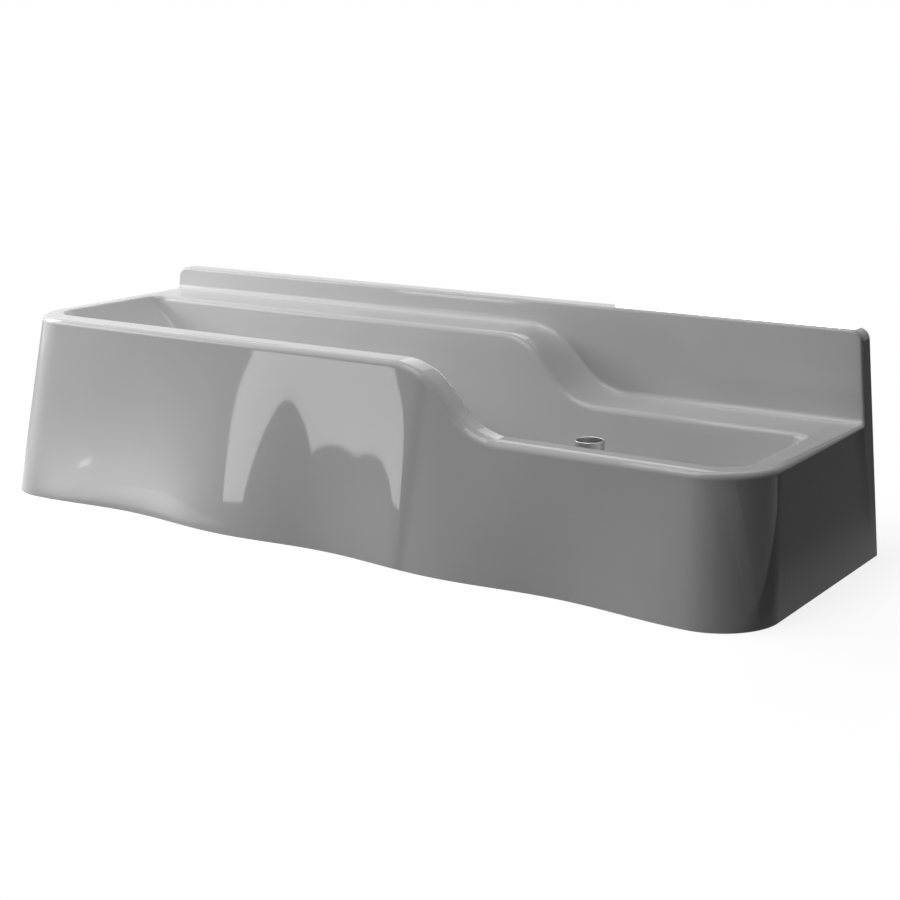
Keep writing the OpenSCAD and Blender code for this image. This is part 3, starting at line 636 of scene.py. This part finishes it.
def bead_points(start, end):
    """A weld bead along a corner: circles about a straight path, their radius
    bead (1 - |2s - 1|^10)^(1/2) (1 + 0.12 sin(2 pi length s / ripple + lean)), leaning back as laid."""
    start, end = np.asarray(start, float), np.asarray(end, float)
    length = np.linalg.norm(end - start)
    along = (end - start) / length
    side = np.cross(along, [0, 0, 1] if abs(along[2]) < 0.9 else [1, 0, 0])
    side /= np.linalg.norm(side)
    up = np.cross(along, side)
    s = np.linspace(0.0, 1.0, int(length / RIPPLE * 5) + 2)[:, None]
    a = circle(BEAD_COLUMNS)[None]
    r = BEAD * np.sqrt(np.clip(1 - np.abs(2 * s - 1) ** 10, 0.01, 1))
    r = r * (1 + 0.12 * np.sin(2 * np.pi * length * s / RIPPLE + 0.9 * np.cos(a)))
    around = side * np.cos(a)[..., None] + up * np.sin(a)[..., None]
    return lerp(start, end, s)[:, None] + r[..., None] * around


def weld_bracket(level):
    """Fillet welds where the arm and its web meet the wall plate and each other."""
    x, top = BRACKETS[level]
    under, face = top - ARM, DEPTH / 2 - PLATE
    rise, half = min(GUSSET_HEIGHT, PLATE_HIGH - top - PLATE_MARGIN), ARM / 2
    tip, gusset = DEPTH / 2 - ARM_REACH + WEB_TIP, DEPTH / 2 - GUSSET_DEPTH
    along_web = [((tip, under), (face, under)), ((face, PLATE_LOW + WEB_FOOT), (face, under)),
                 ((gusset + WELD_START, top), (face, top)), ((face, top), (face, top + rise - WELD_END))]
    beads = [[(x + side * half, *a), (x + side * half, *b)] for a, b in along_web for side in (-1, 1)]
    beads += [[(x - ARM_WIDTH / 2, face, z), (x + ARM_WIDTH / 2, face, z)] for z in (under, top)]
    points, faces = [], []
    for a, b in beads:
        bead = bead_points(a, b)
        before = sum(map(len, points))
        faces += [[k + before for k in face] for face in capped_faces(*bead.shape[:2])]
        points.append(bead.reshape(-1, 3))
    name = f"welds_{level}"
    return piece(name, new_mesh(name, np.concatenate(points), faces), f"bracket_{level}", sharp=60)


welds = [weld_bracket(level) for level in BRACKETS]


RESIN, RESIN_SINK, RESIN_CORNER, RESIN_GAP = 0.0035, 0.0006, 0.004, 0.0025


def bond_block(level):
    """Resin squeezed out around a block's top edge: circles of uneven size along a rounded rectangle."""
    x, z = BRACKETS[level][0], BRACKETS[level][1] + PAD + BLOCK
    left, right = x - BLOCK_WIDTH / 2, x + BLOCK_WIDTH / 2
    near, far = DEPTH / 2 - BLOCK_TO, DEPTH / 2 - BLOCK_FROM
    outline = eased([[left, near], [right, near], [right, far], [left, far]], RESIN_CORNER, 6)
    outline = dense(outline, RESIN_GAP)
    out = np.roll(outline, -1, 0) - np.roll(outline, 1, 0)
    out = np.column_stack([out[:, 1], -out[:, 0]]) / np.linalg.norm(out, axis=1, keepdims=True)
    s, a = circle(len(outline))[:, None], circle(14)[None]
    r = RESIN * (1 + 0.12 * np.sin(9 * s + x * 9) + 0.07 * np.sin(23 * s + 1) + 0.05 * np.sin(47 * s + 2))
    plan_places = outline[:, None] + (r * np.cos(a))[..., None] * out[:, None]
    points = np.dstack([plan_places, z + r * np.sin(a) - RESIN_SINK])
    name, faces = f"bonding_resin_{level}", ring_faces(*points.shape[:2])[:, ::-1]
    return piece(name, new_mesh(name, points.reshape(-1, 3), faces.tolist()), f"fixing_block_{level}")


resin = [bond_block(level) for level in BRACKETS]

washers = turned_ring("plain_washers", "arm_washers", washer_outline(
    2 * SCREW, SCREW + 0.0002, -ARM - WASHER, -ARM, [0.0002, 0.0004, 0.0002, 0.0002]),
    segments=64, places=screws)


KNURL, KNURL_LINES, KNURL_SLANT = 0.0003, 15, 900


def knurl(r, a, z):
    """Crossed fine grooves in two bands, cut where either of two slanting waves is near nought."""
    height = (z - PAD) / INSERT
    band = np.clip(8 * np.minimum(height - 0.08, 0.44 - height), 0, 1) \
        + np.clip(8 * np.minimum(height - 0.56, 0.92 - height), 0, 1)
    cross = np.minimum(*(np.abs(np.sin(KNURL_LINES * a + side * z * KNURL_SLANT)) for side in (1, -1)))
    return np.where(r > INSERT_RADIUS - 0.0001, r - KNURL * band * (1 - np.minimum(1, 2.5 * cross)), r)


inserts = turned_ring("knurled_inserts", "threaded_inserts", dense(eased(
    [[SCREW + FIT, PAD], [INSERT_RADIUS, PAD], [INSERT_RADIUS, PAD + INSERT], [SCREW + FIT, PAD + INSERT]],
    [0.0002, 0.0003, 0.0005, 0.0002], 2), 0.0006), segments=90, radius=knurl, places=screws)


def make_bolts():
    """Hexagon bolts from below: a chamfered head, a washer face and a threaded shank, chamfered too."""
    head_z, end = -ARM - WASHER - HEAD, PAD + INSERT - SCREW_END
    corner, pitch, cut = 2 * HEAD_APOTHEM / np.sqrt(3), 0.00125, 0.0007
    low, high = -ARM - WASHER, end - 0.001
    steps = lambda a, b, gap: np.linspace(a, b, int(abs(b - a) / gap) + 2)
    shank = steps(low, end - 0.0008, pitch / 6)
    chamfer = np.linspace(0, 1, 8)
    rows = np.vstack([
        [[0.0012, head_z + 0.0004], [0.0044, head_z + 0.0004], [0.0048, head_z]],
        np.column_stack([lerp(HEAD_APOTHEM, corner, chamfer), head_z + 0.0007 * chamfer]),
        [[corner, low - 0.0011], [corner, low - 0.0004], [HEAD_APOTHEM - 0.0002, low - 0.0003],
         [HEAD_APOTHEM - 0.0003, low], [SCREW, low]],
        np.column_stack([np.full(len(shank) - 1, SCREW), shank[1:]]),
        [[SCREW - 0.0008, end], [0.0008, end]]])
    flats = hexagon(HEAD_APOTHEM, head_z - 1, low - 0.00035, 0.0001)
    grooves = thread(SCREW, cut, pitch, low + 0.002, high)

    def radius(r, a, z):
        """Flats on the head; the thread only where the blank has the shank's radius."""
        return np.where(r > SCREW + 1e-5, flats(r, a, z), grooves(r, a, z))
    points = turned_points(rows, 48, radius)
    points, faces = at_places(points, capped_faces(*points.shape[:2]), screws)
    return piece("hexagon_bolts", new_mesh("hexagon_bolts", points, faces), "arm_bolts", node="arm_bolts")


bolts = make_bolts()

# -------- camera
YAW, PITCH, ROLL = np.radians([33.9160, 13.4465, -0.0957])
CAMERA_PLACE, SENSOR, LENS = (1.52938, -2.14604, 0.74478), 36, 68.073112


def place_camera():
    """A camera before the low end and above it, turned to the left and down."""
    ahead = np.array([-np.sin(YAW) * np.cos(PITCH), np.cos(YAW) * np.cos(PITCH), -np.sin(PITCH)])
    right = np.array([np.cos(YAW), np.sin(YAW), 0])
    up = np.cross(right, ahead)
    matrix = np.eye(4)
    matrix[:3, 0] = right * np.cos(ROLL) + up * np.sin(ROLL)
    matrix[:3, 1] = up * np.cos(ROLL) - right * np.sin(ROLL)
    matrix[:3, 2], matrix[:3, 3] = -ahead, CAMERA_PLACE
    data = bpy.data.cameras.new("camera")
    data.sensor_width, data.lens, data.clip_end = SENSOR, LENS, 50
    bpy.context.scene.camera = camera = add_object("camera", data)
    camera.matrix_world = Matrix(matrix.tolist())


place_camera()


# -------- nodes and shared effects
def put(tree, kind, inputs=None, **settings):
    """A shader node with its settings; each input is a value or another node's output."""
    made = tree.nodes.new("ShaderNode" + kind)
    for key, value in settings.items():
        setattr(made, key, value)
    for key, value in (inputs or {}).items():
        if isinstance(value, bpy.types.NodeSocket):
            tree.links.new(value, made.inputs[key])
        else:
            made.inputs[key].default_value = value
    return made


def calc(tree, kind, *inputs, **settings):
    return put(tree, "Math", dict(enumerate(inputs)), operation=kind, **settings).outputs[0]


def noise(tree, vector, scale, detail):
    return put(tree, "TexNoise", {"Vector": vector, "Scale": scale, "Detail": detail}).outputs["Fac"]


def spread(tree, value, start, stop, low=0.0, high=1.0, **settings):
    """A value's range from start to stop, carried over to low to high and clamped there."""
    return put(tree, "MapRange", {"Value": value, "From Min": start, "From Max": stop,
                                  "To Min": low, "To Max": high}, **settings).outputs["Result"]


def parts(tree, vector):
    return put(tree, "SeparateXYZ", {0: vector}).outputs


EFFECTS = {}


def effect(output, **inputs):
    """Builds the function beneath it as a node group, with a Vector, the named inputs and one output."""
    def build(wire):
        name = wire.__name__.replace("_", " ")
        tree = EFFECTS[name] = bpy.data.node_groups.new(name, "ShaderNodeTree")
        for key, default in {"vector": (0, 0, 0), **inputs}.items():
            kind = "Float" if isinstance(default, float) else "Vector"
            tree.interface.new_socket(key.replace("_", " ").title(), in_out="INPUT",
                                      socket_type="NodeSocket" + kind).default_value = default
        tree.interface.new_socket(output, in_out="OUTPUT", socket_type="NodeSocketFloat")
        made = wire(tree, *tree.nodes.new("NodeGroupInput").outputs[:len(inputs) + 1])
        tree.links.new(made, tree.nodes.new("NodeGroupOutput").inputs[output])
        return wire
    return build


@effect("Value", scale=10.0, low=0.0, high=1.0, detail=3.0)
def mottling(tree, vector, scale, low, high, detail):
    """Cloudy variation between two values."""
    return spread(tree, noise(tree, vector, scale, detail), 0.3, 0.7, low, high)


@effect("Value", stretch=(1, 1, 1), scale=100.0, low=0.0, high=1.0)
def streaks(tree, vector, stretch, scale, low, high):
    """Fine lines drawn out along one direction: noise on coordinates squeezed by the stretch."""
    drawn = put(tree, "VectorMath", {0: vector, 1: stretch}, operation="MULTIPLY").outputs[0]
    return spread(tree, noise(tree, drawn, scale, 4.0), 0.25, 0.75, low, high)


@effect("Height", wave_scale=10.0, wave=0.5, pore_scale=400.0, pore=0.1)
def relief(tree, vector, wave_scale, wave, pore_scale, pore):
    """Height of a surface that is slightly wavy and slightly pored."""
    waves = calc(tree, "MULTIPLY", noise(tree, vector, wave_scale, 1.0), wave)
    return calc(tree, "MULTIPLY_ADD", noise(tree, vector, pore_scale, 2.0), pore, waves)


@effect("Mask", width=0.001, scale=120.0, amount=0.5)
def edge_wear(tree, vector, width, scale, amount):
    """1 along rubbed edges: where the rounded normal leaves the true one, broken up by noise."""
    soft = put(tree, "Bevel", {"Radius": width}, samples=4).outputs[0]
    true = put(tree, "NewGeometry").outputs["Normal"]
    close = put(tree, "VectorMath", {0: soft, 1: true}, operation="DOT_PRODUCT").outputs["Value"]
    rubbed = calc(tree, "MULTIPLY", spread(tree, close, 0.995, 0.9), noise(tree, vector, scale, 3.0))
    return spread(tree, rubbed, 0.35, 0.5, 0.0, amount)


@effect("Mask", scale=25.0, amount=0.4)
def settled_dust(tree, vector, scale, amount):
    """1 where dust lies: on faces that look up, in patches."""
    up = parts(tree, put(tree, "NewGeometry").outputs["Normal"])["Z"]
    lying = calc(tree, "MULTIPLY", spread(tree, up, 0.5, 1.0), noise(tree, vector, scale, 5.0))
    return spread(tree, lying, 0.3, 0.75, 0.0, amount)


class Finish:
    """A material on Object coordinates, built from the shared effects around one Principled shader."""

    def __init__(self, name, pieces, metallic=0.0, specular=0.5):
        made = bpy.data.materials.new(name)
        made.use_nodes = True
        self.tree = made.node_tree
        self.shader = self.tree.nodes["Principled BSDF"]
        self.place = put(self.tree, "TexCoord").outputs["Object"]
        self.shader.inputs["Metallic"].default_value = metallic
        self.shader.inputs["Specular IOR Level"].default_value = specular
        for obj in pieces:
            obj.data.materials.clear()
            obj.data.materials.append(made)

    def calc(self, kind, *inputs, **settings):
        return calc(self.tree, kind, *inputs, **settings)

    def add(self, name, *values):
        """Output of a shared effect with this material's values for its inputs."""
        group = self.tree.nodes.new("ShaderNodeGroup")
        group.node_tree = EFFECTS[name]
        self.tree.links.new(self.place, group.inputs[0])
        for socket, value in zip(group.inputs[1:], values):
            socket.default_value = value
        return group.outputs[0]

    def blend(self, mask, low, high):
        """Colour going from low to high with a mask; each is a colour, a grey or a colour output."""
        low, high = (value if isinstance(value, bpy.types.NodeSocket)
                     else (*np.broadcast_to(value, 3).tolist(), 1) for value in (low, high))
        return put(self.tree, "Mix", {"Factor": mask, 6: low, 7: high}, data_type="RGBA").outputs[2]

    def clouded(self, low, high, scale, detail=3):
        return self.blend(self.add("mottling", scale, 0, 1, detail), low, high)

    def sum(self, a, b):
        return self.calc("ADD", a, b, use_clamp=True)

    def feed(self, socket, value):
        self.tree.links.new(value, self.shader.inputs[socket])

    def bump(self, distance, *values, height=None):
        """Relief of a height in units of the distance, or of the shared effect with these values."""
        height = height or self.add("relief", *values)
        made = put(self.tree, "Bump", {"Height": height, "Distance": distance, "Strength": 1.0})
        self.feed("Normal", made.outputs["Normal"])


# -------- finishes
# Faint upright creases that the mould's fairing left in the skirt's front: x at the middle height, lean,
# half width, steepness there, and how much steeper it gets per metre of height
CREASES = [(-0.073, -0.074, 0.050, 0.032, -0.057), (0.158, 0.078, 0.0114, 0.12, -0.30)]
CREASE_MIDDLE, SKIRT_FROM, SKIRT_TO, GELCOAT_RELIEF = 0.15, -0.175, -0.190, 0.0008


def creases(tree, place):
    """Height in metres of the creases: each is a smooth step across x, -width steepness tanh(u)."""
    at = parts(tree, place)
    rise = calc(tree, "SUBTRACT", at["Z"], CREASE_MIDDLE)
    steps = []
    for x, lean, width, steep, steeper in CREASES:
        across = calc(tree, "MULTIPLY_ADD", at["X"], 1 / width, -x / width)
        across = calc(tree, "TANH", calc(tree, "MULTIPLY_ADD", rise, -lean / width, across))
        slope = calc(tree, "MAXIMUM", calc(tree, "MULTIPLY_ADD", rise, steeper, steep), 0.0)
        steps.append(calc(tree, "MULTIPLY", calc(tree, "MULTIPLY", across, slope), -width))
    return calc(tree, "MULTIPLY", calc(tree, "ADD", *steps), spread(tree, at["Y"], SKIRT_FROM, SKIRT_TO))


def coat(name, pieces, clouds, mottles=None, lines=None, relief=None, wear=None, metallic=0.0):
    """A common finish: clouded colour (low, high, scale, detail), on edges worn to another (width,
    scale, amount, colour); roughness from mottles (scale, low, high), from lines (stretch, scale, low,
    high) or from their sum; and relief (distance, wave scale, wave, pore scale, pore)."""
    made = Finish(name, pieces, metallic)
    colour = made.clouded(*clouds)
    if wear:
        colour = made.blend(made.add("edge wear", *wear[:3]), colour, wear[3])
    made.feed("Base Color", colour)
    rough = [made.add(name, *row) for name, row in (("mottling", mottles), ("streaks", lines)) if row]
    made.feed("Roughness", made.sum(*rough) if len(rough) > 1 else rough[0])
    if relief:
        made.bump(*relief)


# Gelcoat: one pale grey, very slightly clouded, glossy; the back of the casting is left rough
gelcoat = Finish("gelcoat", [casting], specular=0.22)
raw = put(gelcoat.tree, "Attribute", attribute_name="raw").outputs["Fac"]
gelcoat.feed("Base Color", gelcoat.blend(raw, gelcoat.clouded(0.590, 0.610, 9, 4),
                                         gelcoat.clouded(0.42, 0.52, 60, 6)))
gelcoat.feed("Roughness", gelcoat.sum(gelcoat.add("mottling", 14, 0.035, 0.050),
                                      gelcoat.calc("MULTIPLY", raw, 0.45)))
rough_back = gelcoat.calc("MULTIPLY", raw, gelcoat.add("relief", 70, 1, 300, 0.5))
calm = gelcoat.add("relief", 9, 0.10, 900, 0.0004)
gelcoat.bump(GELCOAT_RELIEF, height=gelcoat.calc(
    "MULTIPLY_ADD", creases(gelcoat.tree, gelcoat.place), 1 / GELCOAT_RELIEF,
    gelcoat.calc("ADD", rough_back, calm)))

# Steel of the standpipe, drawn along its length and dulled by water
coat("drawn steel", [tube], (0.44, 0.54, 50, 5), (80, 0, 0.10), ((1, 1, 0.03), 900, 0.30, 0.42), metallic=1)

# Chrome plate with dried water spots
coat("chrome plate", [flange], (0.70, 0.78, 120, 4), (160, 0.04, 0.16), ((1, 1, 4), 600, 0, 0.05), metallic=1)

# Dark moulded plastic of the plug, and white low-friction plastic
coat("dark plastic", [foot], (0.035, 0.055, 90), (200, 0.30, 0.42), relief=(0.00006, 120, 0.3, 1500, 0.5))
coat("slip plastic", [slip], ((0.70, 0.69, 0.65), (0.78, 0.77, 0.74), 60), lines=((1, 1, 6), 400, 0.30, 0.45))

# Brass, bright on its edges and browned between
coat("brass", [nut, inserts], ((0.46, 0.33, 0.14), (0.66, 0.50, 0.24), 70, 6), (110, 0.22, 0.42),
     ((1, 1, 5), 500, 0, 0.06), (0.00005, 90, 0.3, 1400, 0.3), (0.0008, 120, 0.8, (0.80, 0.66, 0.36)), 1)

# Zinc plate of the washers and bolts
coat("zinc plate", [washers, bolts], ((0.44, 0.45, 0.46), (0.60, 0.61, 0.62), 220, 6), (180, 0.28, 0.48),
     None, (0.00004, 300, 0.5, 1500, 0.4), (0.0006, 120, 0.7, (0.70, 0.70, 0.71)), 1)

# Bonding resin, greyed and slightly glossy
coat("bonding resin", resin, ((0.42, 0.39, 0.33), (0.52, 0.49, 0.43), 45, 5), (70, 0.25, 0.45),
     relief=(0.0003, 160, 0.8, 900, 0.3))

# Black rubber with a grey bloom
rubber = Finish("black rubber", [gasket, lower, ring_seal, pads])
bloom = rubber.sum(rubber.add("mottling", 70, 0, 0.5, 5), rubber.add("settled dust", 25, 0.3))
rubber.feed("Base Color", rubber.blend(bloom, 0.018, 0.060))
rubber.feed("Roughness", rubber.add("mottling", 40, 0.62, 0.80))
rubber.bump(0.00008, 200, 0.4, 1800, 0.6)

# Grey powder coat on the brackets and their welds, rubbed to metal on edges, dusty on top
paint = Finish("grey powder coat", brackets + welds)
worn, dust = paint.add("edge wear", 0.0014, 90, 0.9), paint.add("settled dust", 30, 0.35)
painted = paint.clouded((0.155, 0.165, 0.175), (0.185, 0.195, 0.205), 12, 5)
painted = paint.blend(worn, painted, (0.42, 0.41, 0.40))
paint.feed("Base Color", paint.blend(dust, painted, (0.40, 0.38, 0.35)))
paint.feed("Metallic", worn)
paint.feed("Roughness", paint.sum(paint.add("mottling", 25, 0.36, 0.48), dust))
paint.bump(0.00012, 420, 0.8, 1800, 0.1)

# Birch plywood: light and dark plies on the sides, long grain on the faces
PLY = 0.0029
wood = Finish("birch plywood", blocks)
height = wood.calc("ADD", parts(wood.tree, wood.place)["Z"], wood.add("mottling", 40, -0.0002, 0.0002))
wave = wood.calc("SINE", wood.calc("MULTIPLY", height, 2 * np.pi / PLY))
plies = wood.blend(wood.calc("MULTIPLY_ADD", wave, 2.5, 0.5, use_clamp=True),
                   (0.36, 0.24, 0.13), (0.56, 0.42, 0.26))
grain = wood.blend(wood.add("streaks", (0.05, 1, 1), 260), (0.46, 0.33, 0.19), (0.62, 0.48, 0.31))
upright = parts(wood.tree, put(wood.tree, "NewGeometry").outputs["Normal"])["Z"]
flat = wood.calc("GREATER_THAN", wood.calc("ABSOLUTE", upright), 0.7)
wood.feed("Base Color", wood.blend(flat, plies, grain))
wood.feed("Roughness", wood.add("streaks", (0.1, 1, 1), 200, 0.55, 0.75))
wood.bump(0.0002, height=wood.add("streaks", (0.06, 1, 1), 500))


# -------- room
def backdrop_rays(tree):
    """1 for camera, glossy and transmission rays, which see the plain white surroundings, else 0."""
    path = put(tree, "LightPath").outputs
    return calc(tree, "MAXIMUM", calc(tree, "MAXIMUM", path["Is Camera Ray"], path["Is Glossy Ray"]),
                path["Is Transmission Ray"])


def light_room(ambient):
    """Plain white surroundings, and an even ambient light of the given strength."""
    world = bpy.data.worlds.new("room")
    world.use_nodes = True
    tree = world.node_tree
    background = tree.nodes["Background"].inputs
    tree.links.new(spread(tree, backdrop_rays(tree), 0.0, 1.0, ambient), background["Strength"])
    background["Color"].default_value = (1, 1, 1, 1)
    bpy.context.scene.world = world


def sheet(name, outline, z, seen=True):
    """A level sheet of the room with an empty material, and that material's nodes."""
    made = add_object(name, new_mesh(name, [(x, y, z) for x, y in outline], [list(range(len(outline)))]))
    made.visible_camera = made.visible_shadow = seen
    material = bpy.data.materials.new(name)
    material.use_nodes = True
    made.data.materials.append(material)
    material.node_tree.nodes.remove(material.node_tree.nodes["Principled BSDF"])
    return material.node_tree


def cover(tree, mask, shaders):
    """The material's surface goes from the first shader to the second with a mask."""
    mix = put(tree, "MixShader", {0: mask, 1: shaders[0].outputs[0], 2: shaders[1].outputs[0]})
    tree.links.new(mix.outputs[0], tree.nodes["Material Output"].inputs["Surface"])


def lay_floor(radius, colour, glow):
    """A round pale floor at the foot of the skirt: white to the eye, with the trough's soft shadow,
    fading into the white surroundings at its edge. From below the eye looks through it."""
    rim = radius * np.column_stack([np.cos(circle(96)), np.sin(circle(96))])
    tree = sheet("floor", rim, -0.0005)
    place = put(tree, "TexCoord").outputs["Object"]
    out = put(tree, "VectorMath", {0: place}, operation="LENGTH").outputs["Value"]
    fade = spread(tree, out, 0.6 * radius, 0.98 * radius, interpolation_type="SMOOTHSTEP")
    strength = calc(tree, "MULTIPLY", backdrop_rays(tree), spread(tree, fade, 0.0, 1.0, glow))
    matt = put(tree, "BsdfDiffuse", {"Color": spread(tree, fade, 0.0, 1.0, colour, 0.0)})
    shine = put(tree, "Emission", {"Strength": strength})
    below = calc(tree, "MULTIPLY", put(tree, "NewGeometry").outputs["Backfacing"],
                 put(tree, "LightPath").outputs["Is Camera Ray"])
    cover(tree, below, [put(tree, "AddShader", {0: matt.outputs[0], 1: shine.outputs[0]}),
                        put(tree, "BsdfTransparent")])


def lay_black_cloth(name, corners, fade_x, fade_y, most):
    """A thin black cloth on the floor, which darkens what the trough mirrors; it thins out towards the
    trough, from most to nothing over fade_x and fade_y. Neither the camera nor the lamps see it."""
    tree = sheet(name, corners, -0.0003, seen=False)
    at = parts(tree, put(tree, "TexCoord").outputs["Object"])
    x, y = (spread(tree, at[axis], *fade, interpolation_type="SMOOTHSTEP")
            for axis, fade in (("X", fade_x), ("Y", fade_y)))
    cover(tree, calc(tree, "MULTIPLY", calc(tree, "MULTIPLY", x, y), most),
          [put(tree, "BsdfTransparent"), put(tree, "BsdfDiffuse", {"Color": (0.02, 0.02, 0.02, 1)})])


def hang_softbox(name, azimuth, elevation, distance, size, radiance, aim=(0, -0.15, 0.15)):
    """A softbox of even radiance that faces the trough; azimuth goes from the front, -Y, towards -X,
    in degrees. The camera doesn't see it."""
    az, el = np.radians([azimuth, elevation])
    toward = np.array([-np.sin(az) * np.cos(el), -np.cos(az) * np.cos(el), np.sin(el)])
    light = bpy.data.lights.new(name, "AREA")
    light.shape, light.size, light.size_y = "RECTANGLE", *size
    light.energy = np.pi * radiance * size[0] * size[1]
    lamp = add_object(name, light)
    lamp.rotation_euler = Vector(-toward).to_track_quat("-Z", "Y").to_euler()
    lamp.location = np.array(aim) + toward * distance
    lamp.visible_camera = False


def hang_far_panel(name, azimuths, elevations, distance, radiance):
    """A far softbox that fills a window of azimuths and elevations, in degrees."""
    (a, b), (low, high) = azimuths, elevations
    wide, rise = np.radians(b - a), np.tan(np.radians(high)) - np.tan(np.radians(low))
    hang_softbox(name, (a + b) / 2, (low + high) / 2, distance, (distance * wide, distance * rise), radiance)


bpy.context.scene.view_settings.view_transform = "Standard"
light_room(0.02)
lay_floor(1.2, 0.3, 0.85)
lay_black_cloth("black cloth beside the low end",
                ((0.5, -0.55), (1.3, -0.55), (1.3, 0.7), (3.5, 3.2), (3.5, 6.0), (0.5, 6.0)),
                (0.50, 0.90), (-0.55, -0.15), 0.72)
lay_black_cloth("black cloth beside the high end", ((-3.5, -0.3), (-0.72, -0.3), (-0.72, 6.0), (-3.5, 6.0)),
                (-0.75, -1.05), (-0.3, 0.1), 0.6)
for softbox in (("left key", 90, 25, 1.5, (0.7, 0.7), 8.3, (-0.25, -0.15, 0.15)),
                ("left front key", 60, 25, 2.4, (0.9, 0.9), 5.9),
                ("front fill", 12, 65, 2.4, (0.9, 0.9), 4.2),
                ("top light", 0, 90, 2.0, (1.0, 1.0), 4.2),
                ("back light", 160, 30, 2.5, (0.9, 0.9), 1.2),
                ("light under the back", 180, 12, 2.2, (1.4, 0.4), 5.0),
                ("floor card", 0, -90, 0.3, (0.3, 0.16), 1.3, (-0.44, -0.32, 0.303))):
    hang_softbox(*softbox)
hang_far_panel("window", (33.0, 40.2), (-6.1, 4), 3.8, 8.4)
